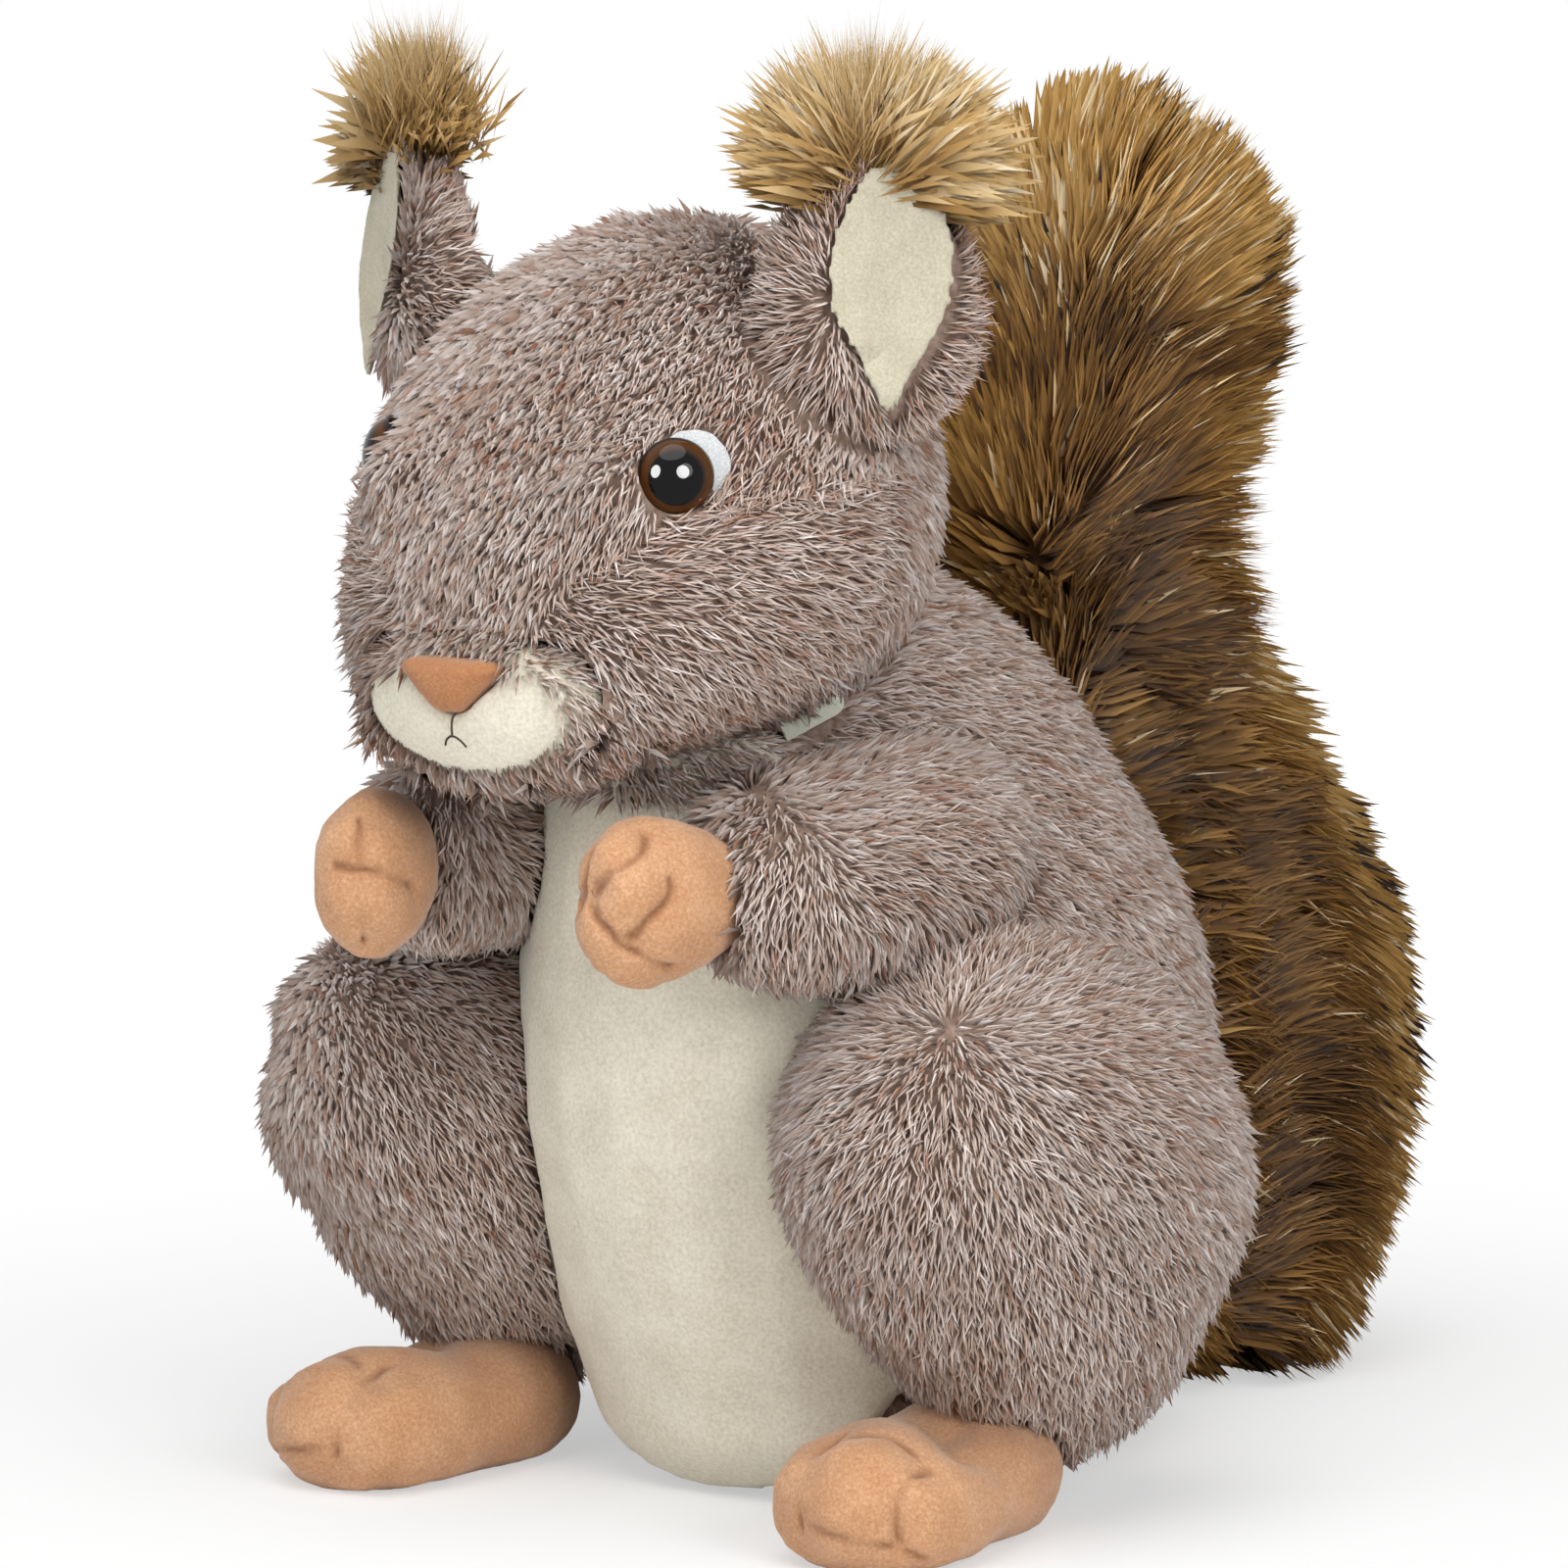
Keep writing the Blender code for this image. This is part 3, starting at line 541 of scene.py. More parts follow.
def soft_noise(points: Array, size: float, seed: int) -> Array:
    """Smooth noise over space.

    Args:
        points: one row each.
        size: of its blobs, in metres.
        seed: another number gives another pattern.

    Returns:
        A value from 0 to 1 for each point.
    """
    grid = points / size + 1000 + 17.3 * seed
    low = np.floor(grid).astype(np.int64)
    share = grid - low
    share = share * share * (3 - 2 * share)
    total = np.zeros(len(points))
    for corner in range(8):
        step = np.array([(corner >> axis) & 1 for axis in range(3)])
        cell = low + step
        code = (cell[:, 0] * 73856093) ^ (cell[:, 1] * 19349663) ^ (cell[:, 2] * 83492791) ^ (seed * 2654435761)
        code = (code ^ (code >> 13)) * 1274126177 & 0xFFFFFFFF
        value = ((code ^ (code >> 16)) & 0xFFFF) / 65535
        weight = np.prod(np.where(step, share, 1 - share), axis=1)
        total += value * weight
    return total


def along_path(points: Array, corners: Array) -> Array:
    """How far each point is from a path of straight stretches.

    Args:
        points: one row each, in metres.
        corners: of the path, in metres.

    Returns:
        The distances, in metres.
    """
    best = np.full(len(points), np.inf)
    for start, end in zip(corners, corners[1:]):
        run = end - start
        share = np.clip((points - start) @ run / (run @ run), 0, 1)
        best = np.minimum(best, np.linalg.norm(points - start - share[:, None] * run, axis=1))
    return best


def smooth_run(places: Array, rounds: int) -> Array:
    """A run of places, each averaged with the two next to it, between fixed ends."""
    for _ in range(rounds):
        places[1:-1] = (places[:-2] + 2 * places[1:-1] + places[2:]) / 4
    return places


class Neighbours:
    """The CAD solids round a form, to tell how near they are."""

    def __init__(self, leaving_out: Sequence[str]) -> None:
        """Gathers all nodes but those of the form itself."""
        corners: list[Vector] = []
        faces: list[tuple[int, ...]] = []
        for name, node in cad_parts.items():
            if name in leaving_out:
                continue
            first = len(corners)
            corners += [v.co.copy() for v in node.data.vertices]
            faces += [tuple(first + i for i in p.vertices) for p in node.data.polygons]
        self.tree = BVHTree.FromPolygons(corners, faces)

    def near(self, points: Array, reach: float) -> tuple[Array, Array, Array]:
        """Looks for the nearest solid.

        Args:
            points: one row each.
            reach: how far to look.

        Returns:
            The distances (reach where nothing is near), the directions there, and whether a point lies inside.
        """
        gaps = np.full(len(points), reach)
        toward = np.zeros((len(points), 3))
        inside = np.zeros(len(points), bool)
        for i, point in enumerate(points):
            at, normal, _, gap = self.tree.find_nearest(Vector(point), reach)
            if at is None:
                continue
            way = np.array(at) - point
            gaps[i] = gap
            toward[i] = way / max(gap, 1e-9)
            inside[i] = way @ np.array(normal) > 0
        return gaps, toward, inside


@dataclass(frozen=True)
class Groove:
    """A line of stitches that draws the cloth in. Its path is the left side's, in millimetres."""

    path: tuple[Triple, ...]
    depth: float = 1.5 * MM
    width: float = 1.2 * MM
    pull: float = 1.7 * MM
    pull_width: float = 6.5 * MM
    # A stitched line also gets painted shade along its groove, over the width below
    stitched: bool = True
    shadow: float = 1.1 * MM
    steps: int = 4
    rounding: int = 45

    def line(self, side: int) -> Array:
        """The path as a smooth run of places, in metres, mirrored for side -1."""
        corners = np.array(self.path) * (side, 1, 1) * MM
        steps = np.linspace(0, len(corners) - 1, self.steps * len(corners))
        places = [np.interp(steps, np.arange(len(corners)), corners[:, axis]) for axis in range(3)]
        return smooth_run(np.stack(places, axis=1), self.rounding)

    def press(self, piece: Object, side: int = 1) -> None:
        """Presses the line into a piece, and marks it for the plush's painted shade.

        Args:
            piece: the object.
            side: -1 for the right side's piece, where the path is mirrored.
        """
        points = points_of(piece)
        far = along_path(points, self.line(side))
        dents = ((self.depth, self.width), (self.pull, self.pull_width))
        depth = sum(deep * np.exp(-((far / wide) ** 2)) for deep, wide in dents)
        set_points(piece, points - normals_of(piece) * depth[:, None])
        if not self.stitched:
            return
        # Painted shade along the line, for the plush's colour
        marks = piece.data.attributes
        mark = marks.get("painted_crease_shade") or marks.new("painted_crease_shade", "FLOAT", "POINT")
        dark = np.empty(len(points))
        mark.data.foreach_get("value", dark)
        mark.data.foreach_set("value", np.maximum(dark, np.exp(-((far / self.shadow) ** 2))))

# Strands


@dataclass
class Strands:
    """How one kind of pile stands on the cloth. Lengths are in metres, turns in degrees."""

    length: float = 7.8 * MM
    spread: float = 0.3
    width: float = 0.56 * MM
    per_mm2: float = 0.62
    root_lift: float = 46
    tip_lift: float = 13
    lift_swing: float = 9
    swing: float = 17
    knee: float = 0.45
    rooted: float = 0.6 * MM


def scatter(skin: Object, count: int, draw: np.random.Generator) -> tuple[Array, Array]:
    """Places on a mesh, spread evenly by its area.

    Args:
        skin: the mesh.
        count: how many.
        draw: the source of chance.

    Returns:
        The points and the normals there.
    """
    mesh = skin.data
    mesh.calc_loop_triangles()
    corners = np.empty(len(mesh.loop_triangles) * 3, dtype=np.int64)
    mesh.loop_triangles.foreach_get("vertices", corners)
    corners = corners.reshape(-1, 3)
    points, normals = points_of(skin), normals_of(skin)
    a, b, c = (points[corners[:, i]] for i in range(3))
    area = np.linalg.norm(np.cross(b - a, c - a), axis=1) / 2
    total = np.cumsum(area)
    rank = (np.arange(count) + draw.random(count)) / count * total[-1]
    chosen = np.clip(np.searchsorted(total, rank), 0, len(area) - 1)
    s, t = draw.random(count), draw.random(count)
    fold = s + t > 1
    s[fold], t[fold] = 1 - s[fold], 1 - t[fold]
    share = np.stack([1 - s - t, s, t], axis=1)
    picked = corners[chosen]
    at = (points[picked] * share[:, :, None]).sum(axis=1)
    up = unit((normals[picked] * share[:, :, None]).sum(axis=1))
    return at, up


def area_of(skin: Object) -> float:
    """The mesh's area in square millimetres."""
    return sum(p.area for p in skin.data.polygons) / MM**2


def free_roots(
    skin: Object, count: int, draw: np.random.Generator, around: Neighbours
) -> tuple[Array, Array]:
    """Places on a skin where hair can stand, because no neighbour lies on them or close above them.

    Args:
        skin: the mesh.
        count: how many places are tried.
        draw: the source of chance.
        around: the solids next to the skin.

    Returns:
        The points and the normals there.
    """
    reach, touching, straight_above = 5 * MM, 0.5 * MM, 0.85
    roots, up = scatter(skin, count, draw)
    gaps, toward, inside = around.near(roots, reach)
    covered = (toward * up).sum(axis=1) > straight_above
    shown = (gaps > touching) & ~inside & ~covered
    return roots[shown], up[shown]


def strand_mesh(
    name: str, spines: Array, facing: Array, widths: Array, shades: Array, knee: float,
    round_share: float = 0.35,
) -> Object:
    """One mesh of many closed strands, each a slim leaf of four faces, bent at its widest.

    Args:
        name: of the new object.
        spines: for each strand its root, its knee and its tip.
        facing: for each strand the way out of the pile, which its shading follows, as soft pile's does.
        widths: of each strand.
        shades: of each strand, from 0 to 1, kept across its map.
        knee: the share of the length where the knee is.
        round_share: how far the shading turns to the strand's own sides.

    Returns:
        The object, with its map.
    """
    root, middle, tip = spines[:, 0], spines[:, 1], spines[:, 2]
    side = unit(np.cross(tip - root, facing))
    left, right = middle + side * widths[:, None] / 2, middle - side * widths[:, None] / 2
    wrong = ((left - root) * np.cross(right - root, tip - root)).sum(axis=1) < 0
    side[wrong] *= -1
    left[wrong], right[wrong] = right[wrong].copy(), left[wrong].copy()
    points = np.stack([root, left, right, tip], axis=1).reshape(-1, 3)
    # No strand goes under the floor
    points[:, 2] = np.maximum(points[:, 2], 0.2 * MM)
    rounded = side * round_share
    out = np.stack([facing, facing + rounded, facing - rounded, facing], axis=1).reshape(-1, 3)
    faces = np.array(((0, 2, 1), (0, 1, 3), (0, 3, 2), (1, 2, 3)))
    loops = (faces[None] + (np.arange(len(root)) * 4)[:, None, None]).ravel()
    # A sliver of width, so that each face has some area on the map
    u = np.clip(shades, 0.004, 0.996)[:, None] + np.array((0.0, 0.0025, -0.0025, 0.0))
    flat = np.stack([u, np.broadcast_to((0.0, knee, knee, 1.0), u.shape)], axis=2).reshape(-1, 2)
    mesh = bpy.data.meshes.new(name)
    mesh.vertices.add(len(points))
    mesh.vertices.foreach_set("co", points.ravel())
    mesh.loops.add(len(loops))
    mesh.loops.foreach_set("vertex_index", loops)
    mesh.polygons.add(len(loops) // 3)
    mesh.polygons.foreach_set("loop_start", np.arange(0, len(loops), 3))
    mesh.uv_layers.new(name="OFBake").data.foreach_set("uv", flat[loops].ravel())
    mesh.update(calc_edges=True)
    mesh.shade_smooth()
    mesh.normals_split_custom_set_from_vertices(unit(out))
    piece = bpy.data.objects.new(name, mesh)
    bpy.context.collection.objects.link(piece)
    return piece


def turned(rows: Array, about: Array, angles: Array) -> Array:
    """Rows turned about axes.

    Args:
        rows: unit vectors at right angles to their axes.
        about: unit axes.
        angles: in radians.

    Returns:
        The turned rows.
    """
    return rows * np.cos(angles)[:, None] + np.cross(about, rows) * np.sin(angles)[:, None]


def skyward(up: Array, share: float) -> Array:
    """The way out of the pile, turned to the sky by a share, as soft pile takes its light."""
    return unit(up + np.array((0, 0, share)))


def laid(way: Array, up: Array) -> Array:
    """Directions laid flat on the surface, as unit rows."""
    flat = way - up * (way * up).sum(axis=1, keepdims=True)
    weak = np.linalg.norm(flat, axis=1) < 0.05
    flat[weak] = np.cross(up[weak], (1.0, 0.0, 0.0))
    return unit(flat)


@dataclass
class Pile:
    """The pile of one stuffed form."""

    name: str
    strands: Strands
    comb: Field
    tone: Field
    keep: Field
    hair: Material
    slot: Slot
    seed: int
    replaces: tuple[str, ...] = ()
    fleck: float = 0.2

    def grow(self, skin: Object, around: Neighbours) -> None:
        """Grows the pile on a skin, as one object or as several side by side.

        Args:
            skin: the form under it.
            around: the solids next to it, which its roots stay out of.
        """
        kind, knee = self.strands, self.strands.knee
        draw = np.random.default_rng(self.seed)
        roots, up = free_roots(skin, int(area_of(skin) * kind.per_mm2), draw, around)
        count = len(roots)
        way = laid(self.comb(roots, up), up)
        way = turned(way, up, np.radians(kind.swing) * draw.standard_normal(count))
        length = kind.length * (1 + kind.spread * draw.uniform(-1, 1, count))
        lifts = np.radians([kind.root_lift, kind.tip_lift])
        lift = lifts[None] + np.radians(kind.lift_swing) * draw.standard_normal((count, 1))
        run, rise = np.cos(lift), np.sin(lift)
        middle = roots + (way * run[:, :1] + up * rise[:, :1]) * (length * knee)[:, None]
        tips = middle + (way * run[:, 1:] + up * rise[:, 1:]) * (length * (1 - knee))[:, None]
        kept = self.keep(roots, tips)
        shades = self.tone(roots, up) + self.fleck * draw.standard_normal(count)
        spines = np.stack([roots - up * kind.rooted, middle, tips], axis=1)
        widths = kind.width * draw.uniform(*WIDTHS, count)
        # Side by side from right to left, so that no object passes the limit on faces
        chosen = np.flatnonzero(kept)[np.argsort(roots[kept, 0], kind="stable")]
        groups = np.array_split(chosen, len(chosen) // MOST_STRANDS + 1)
        facing = skyward(up, 0.25)
        for number, rows in enumerate(groups, 1):
            name = self.name if len(groups) == 1 else f"{self.name}_{number}"
            strands = strand_mesh(name, spines[rows], facing[rows], widths[rows], shades[rows], knee)
            finish_piece(strands, self.hair, self.replaces)


def dress(piece: Object, material: Material) -> None:
    """The piece has this material and no other."""
    piece.data.materials.clear()
    piece.data.materials.append(material)


def finish_piece(
    piece: Object, material: Material, replaces: Sequence[str] = ()
) -> Object:
    """Args:
        piece: the object.
        material: its finish.
        replaces: the CAD nodes that it stands for.

    Returns:
        The piece.
    """
    dress(piece, material)
    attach(piece, BODY)
    if replaces:
        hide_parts(*replaces)
    LOG.info("%s: %d faces", piece.name, len(piece.data.polygons))
    return piece


@dataclass
class Stuffed:
    """A stuffed form: its cloth lies below the tips of its pile, but meets its neighbours where it is sewn on."""

    node: str
    voxel: float = 3.5 * MM
    inset: float = 4.4 * MM
    closed_over: tuple[str, ...] = ()
    smoothing: int = 10
    unevenness: float = 1.2 * MM
    bump_size: float = 26 * MM
    seam_reach: float = 5 * MM

    def skin(self, around: Neighbours, name: str) -> Object:
        """Makes the cloth's surface.

        Args:
            around: the solids next to the form.
            name: of the new object.

        Returns:
            The skin, not yet dressed.
        """
        piece = node_mesh((self.node, *self.closed_over), name)
        apply(piece, "REMESH", mode="VOXEL", voxel_size=self.voxel)
        apply(piece, "SMOOTH", factor=0.5, iterations=self.smoothing)
        points, normals = points_of(piece), normals_of(piece)
        gaps, toward, _ = around.near(points, 8 * MM)
        facing = np.clip((toward * normals).sum(axis=1), 0, 1)
        held = np.clip(1.3 - gaps / self.seam_reach, 0, 1) * facing
        depth = evened(piece, self.inset * (1 - held), 6)
        bumps = (soft_noise(points, self.bump_size, 3) - 0.5) * 2 * self.unevenness * (1 - held)
        moved = points + normals * (bumps - depth)[:, None]
        moved[:, 2] = np.maximum(moved[:, 2], 0.3 * MM)
        set_points(piece, moved)
        piece.data.shade_smooth()
        return piece


# Sub-assemblies


@dataclass
class Eyes:
    """Safety eyes: a moulded dome with a shank, pale felt behind it and a lock washer inside the head."""

    radius: float = 10 * MM
    bulge: float = 7 * MM
    rim: float = 1.2 * MM
    shank_share: float = 0.28
    shank_length: float = 12 * MM
    facing: Triple = (0.70385, -0.70385, 0.09585)
    felt_radius: float = 9.7 * MM
    felt_thickness: float = 1.0 * MM
    felt_gap: float = 0.3 * MM
    felt_shift: float = 5.3 * MM
    felt_turn: float = math.radians(25)
    # How far fur keeps off: its roots and tips from the dome, where tips lap over it below and in front,
    # and its roots and tips inside the felt's edge
    fur_depth: float = 14 * MM
    root_room: float = -0.4 * MM
    tip_room: float = 0.2 * MM
    lap: float = -2.8 * MM
    felt_rooms: tuple[float, float] = (0.2 * MM, 1.2 * MM)
    felt_foot: float = -1.5 * MM

    def place(self, side: int) -> Matrix:
        """The frame of an eye, worked out from its CAD node.

        Args:
            side: 1 for the left eye and -1 for the right.

        Returns:
            A matrix at the foot of the dome, with z along the way that it faces.
        """
        name = "eye_left" if side > 0 else "eye_right"
        z = Vector((self.facing[0] * side, *self.facing[1:])).normalized()
        corners = [v.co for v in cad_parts[name].data.vertices]
        reach = max(c.dot(z) for c in corners)
        tip = [c for c in corners if c.dot(z) > reach - 0.05 * MM]
        top = sum(tip, Vector()) / len(tip)
        x = Vector((0, 0, 1)).cross(z).normalized()
        turn = Matrix((x, z.cross(x), z)).transposed()
        return Matrix.Translation(top - z * self.bulge) @ turn.to_4x4()

    def felt_middle(self, side: int) -> Vector:
        """The middle of the felt, in the eye's own frame."""
        return Vector((side * math.cos(self.felt_turn), math.sin(self.felt_turn), 0)) * self.felt_shift

    def build(self) -> None:
        """Makes both eyes and their felts, and dresses the lock washers."""
        felt, nylon = FELT.build(), LOCK_NYLON.build()
        for name, side in SIDES:
            place = self.place(side)
            material = EYE_PLASTIC.build(place, self.radius, side)
            finish_piece(self.dome(f"safety_eye_{name}", place), material, [f"eye_{name}"])
            disc = self.felt(f"eye_white_{name}", place @ Matrix.Translation(self.felt_middle(side)))
            finish_piece(disc, felt, [f"eye_felt_{name}"])
            dress(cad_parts[f"eye_washer_{name}"], nylon)

    def dome(self, name: str, place: Matrix) -> Object:
        """A smooth dome, from the upper half of a ball, on its rim and its shank.

        Args:
            name: of the object.
            place: the eye's frame.

        Returns:
            The object, with its place in its mesh.
        """
        deselect()
        bpy.ops.mesh.primitive_uv_sphere_add(segments=48, ring_count=32, radius=self.radius)
        piece = bpy.context.object
        piece.name = name
        bpy.ops.object.mode_set(mode="EDIT")
        bpy.ops.mesh.select_all(action="SELECT")
        bpy.ops.mesh.bisect(plane_co=(0, 0, 0), plane_no=(0, 0, 1), clear_inner=True, use_fill=False)
        bpy.ops.mesh.select_all(action="SELECT")
        bpy.ops.transform.resize(value=(1, 1, self.bulge / self.radius), center_override=(0, 0, 0))
        bpy.ops.mesh.select_all(action="DESELECT")
        bpy.ops.mesh.select_non_manifold()
        bpy.ops.mesh.extrude_region_move(TRANSFORM_OT_translate={"value": (0, 0, -self.rim)})
        bpy.ops.mesh.extrude_region_move()
        bpy.ops.transform.resize(
            value=(self.shank_share, self.shank_share, 1), center_override=(0, 0, -self.rim)
        )
        bpy.ops.mesh.extrude_region_move(TRANSFORM_OT_translate={"value": (0, 0, -self.shank_length)})
        bpy.ops.mesh.edge_face_add()
        bpy.ops.mesh.select_all(action="SELECT")
        bpy.ops.mesh.normals_make_consistent(inside=False)
        bpy.ops.object.mode_set(mode="OBJECT")
        piece.data.transform(place)
        piece.data.shade_smooth()
        bpy.ops.object.shade_smooth_by_angle(angle=math.radians(50))
        return piece

    def felt(self, name: str, place: Matrix) -> Object:
        """A round piece of felt, a little uneven at its cut edge.

        Args:
            name: of the object.
            place: its middle, in the eye's frame.

        Returns:
            The object, with its place in its mesh.
        """
        deselect()
        drop = self.rim + self.felt_gap + self.felt_thickness / 2
        bpy.ops.mesh.primitive_cylinder_add(
            vertices=48, radius=self.felt_radius, depth=self.felt_thickness, location=(0, 0, -drop)
        )
        piece = bpy.context.object
        piece.name = name
        bpy.ops.object.transform_apply(location=True, rotation=True, scale=True)
        apply(piece, "BEVEL", width=0.3 * MM, segments=2, limit_method="ANGLE")
        points = points_of(piece)
        turn = np.arctan2(points[:, 1], points[:, 0])
        points[:, :2] *= (1 + 0.012 * np.sin(7 * turn) + 0.008 * np.sin(13 * turn + 1))[:, None]
        set_points(piece, points)
        piece.data.transform(place)
        piece.data.shade_smooth()
        return piece

    def clear(self, roots: Array, tips: Array) -> Array:
        """Which strands leave the eyes and the felts free.

        Args:
            roots: of the strands.
            tips: of the strands.

        Returns:
            True where a strand may stay.
        """
        free = np.ones(len(roots), bool)
        for _, side in SIDES:
            turn = np.array(self.place(side).inverted())
            for rows, is_tip in ((roots, False), (tips, True)):
                local = rows @ turn[:3, :3].T + turn[:3, 3]
                near = np.abs(local[:, 2]) < self.fur_depth
                eye = np.linalg.norm(local[:, :2], axis=1)
                lapped = (local[:, 1] < -0.4 * eye) | (side * local[:, 0] < -0.5 * eye)
                room = np.where(lapped, self.lap, self.tip_room) if is_tip else self.root_room
                felt = np.linalg.norm(local[:, :2] - np.array(self.felt_middle(side))[:2], axis=1)
                on_felt = (local[:, 1] > self.felt_foot) & (felt < self.felt_radius - self.felt_rooms[is_tip])
                free &= ~(near & ((eye < self.radius + room) | on_felt))
        return free


def always(roots: Array, tips: Array) -> Array:
    """Every strand may stay."""
    return np.ones(len(roots), bool)


def patchy(base: float, swing: float, seed: int) -> Field:
    """A tone that drifts over the cloth.

    Args:
        base: its middle.
        swing: how far it drifts.
        seed: which pattern.

    Returns:
        The tone as a function of place.
    """

    def tone(points: Array, up: Array) -> Array:
        """The shade at each point."""
        drift = sum(soft_noise(points, size, seed + i) * share for i, (size, share) in enumerate(PATCHES))
        return base + swing * (2 * drift - 1)

    return tone


@dataclass
class Head:
    """The head: fur over a stuffed form, with its cream muzzle, its nose and the thread of its mouth."""

    eyes: Eyes
    overlap: float = 1.6 * MM
    ridge: float = 8.0 * MM
    ridge_width: float = 10 * MM
    ridge_place: Triple = (16 * MM, -2 * MM, 0)
    # Where the nap parts between forehead and cheek, as y and z in millimetres, and how far it dips in the middle
    seam: tuple[tuple[float, float], ...] = ((-195, 243), (-165, 276), (-120, 282), (-80, 290), (-36, 300))
    dip: float = 16
    brow_way: Triple = (0, -0.6, -0.8)
    cheek_way: Triple = (0.2, 0.95, -0.2)
    jaw_way: Triple = (0.3, 0.5, -0.8)
    back_way: Triple = (0, 0.35, -0.94)

    def comb(self, points: Array, up: Array) -> Array:
        """The forehead's nap runs down to the nose, the cheeks' runs back, and the back's runs down."""
        y, z = points[:, 1] / MM, points[:, 2] / MM
        line = np.interp(y, *zip(*self.seam))
        line -= self.dip * smoothstep(-np.abs(points[:, 0]) / MM, -28, -15)
        jaw = smoothstep(-z, -262, -218)
        cheek_way = blend(outward(points, self.cheek_way), outward(points, self.jaw_way), jaw)
        front = blend(np.array(self.brow_way), cheek_way, smoothstep(line - z, -2, 2))
        return blend(front, np.array(self.back_way), smoothstep(up[:, 1], 0.0, 0.35))

    def tone(self, points: Array, up: Array) -> Array:
        """Mauve-grey all over, with painted shade that makes it a little darker under the cheeks."""
        shade = patchy(0.52, 0.16, 11)(points, up)
        # Painted shade under the cheeks
        return shade - 0.12 * smoothstep(-points[:, 2] / MM, -232, -212)

    def ridged(self, points: Array, normals: Array) -> Array:
        """The cloth with a soft ridge between each eye and the nose, as its pull on the eye's shank leaves it."""
        moved = points.copy()
        for _, side in SIDES:
            across, rise, out = self.ridge_place
            crest = np.array(self.eyes.place(side) @ Vector((-side * across, rise, out)))
            far = np.linalg.norm(points - crest, axis=1)
            moved += normals * (self.ridge * np.exp(-((far / self.ridge_width) ** 2)))[:, None]
        return moved

    def build(self, hair: Material, backing: Material) -> None:
        """Makes the head's cloth and pile, the muzzle, the nose and the stitches.

        Args:
            hair: the pile's finish.
            backing: the cloth's finish.
        """
        shut = tuple(f"{kind}_{name}" for kind in ("eye", "eye_felt", "eye_washer") for name, _ in SIDES)
        around = Neighbours(("head", *shut))
        skin = Stuffed("head", voxel=4.6 * MM, closed_over=shut).skin(around, "head_cloth")
        set_points(skin, self.ridged(points_of(skin), normals_of(skin)))
        finish_piece(skin, backing, ["head"])
        keep = self.eyes.clear
        pile = Pile("head_fur", Strands(), self.comb, self.tone, keep, hair, Slot.FUR, 21, ("head",))
        pile.grow(skin, around)
        self.build_muzzle(hair)

    def build_muzzle(self, hair: Material) -> None:
        """Makes the muzzle and the nose as padded plush, with fur over the muzzle's edge, and stitches the mouth.

        Args:
            hair: the pile's finish.
        """
        muzzle = padded_plush("muzzle", "muzzle_plush", 1.8 * MM, 8)
        finish_piece(muzzle, CREAM_PLUSH.build(), ["muzzle"])
        head = Neighbours([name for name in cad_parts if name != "head"])
        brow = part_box("nose")[1][2] - 1.5 * MM

        def on_edge(roots: Array, tips: Array) -> Array:
            """Whether a strand stands at the muzzle's seam, or above the nose."""
            return (head.near(roots, 6 * MM)[0] < self.overlap) | (roots[:, 2] > brow)

        fringe = Strands(length=7.5 * MM, width=0.55 * MM, per_mm2=0.6, root_lift=38, tip_lift=12)
        pile = Pile("muzzle_edge_fur", fringe, self.comb, self.tone, on_edge, hair, Slot.FUR, 23)
        pile.grow(muzzle, Neighbours(("muzzle", "head")))
        nose = padded_plush("nose", "nose_plush", 1.1 * MM, 6)
        finish_piece(nose, NOSE_PLUSH.build(), ["nose"])
        tree = BVHTree.FromObject(muzzle, bpy.context.evaluated_depsgraph_get())
        thread = THREAD.build()
        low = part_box("nose")[0][2] / MM
        drop = [(0.3, low + 1.5), (0.4, low - 1.0), (0.2, low - 3.5), (0.0, low - 5.5)]
        bow = [(-3.6, low - 8.6), (-2.2, low - 6.9), (0.0, low - 5.9), (2.2, low - 6.9), (3.6, low - 8.6)]
        for name, route in (("mouth_stitch_down", drop), ("mouth_stitch_across", bow)):
            points = [self.on_front(tree, x, z) for x, z in route]
            finish_piece(thread_piece(f"{name}_thread", points, 0.3 * MM), thread, [name])

    def on_front(self, tree: BVHTree, x: float, z: float) -> Vector:
        """Where the muzzle's front is, at a place in millimetres."""
        at, _, _, _ = tree.ray_cast(Vector((x * MM, -0.4, z * MM)), Vector((0, 1, 0)))
        return at + Vector((0, -0.1 * MM, 0))


def thread_piece(name: str, points: Sequence[Vector], radius: float) -> Object:
    """A round thread through points, as a mesh.

    Args:
        name: of the object.
        points: on its way.
        radius: half its thickness.

    Returns:
        The object.
    """
    curve = bpy.data.curves.new(name, "CURVE")
    curve.dimensions = "3D"
    curve.bevel_depth = radius
    curve.bevel_resolution = 1
    curve.resolution_u = 5
    curve.use_fill_caps = True
    line = curve.splines.new("BEZIER")
    line.bezier_points.add(len(points) - 1)
    for knot, point in zip(line.bezier_points, points):
        knot.co = point
        knot.handle_left_type = knot.handle_right_type = "AUTO"
    piece = bpy.data.objects.new(name, curve)
    bpy.context.collection.objects.link(piece)
    pick(piece)
    bpy.ops.object.convert(target="MESH")
    piece = bpy.context.object
    piece.data.shade_smooth()
    return piece


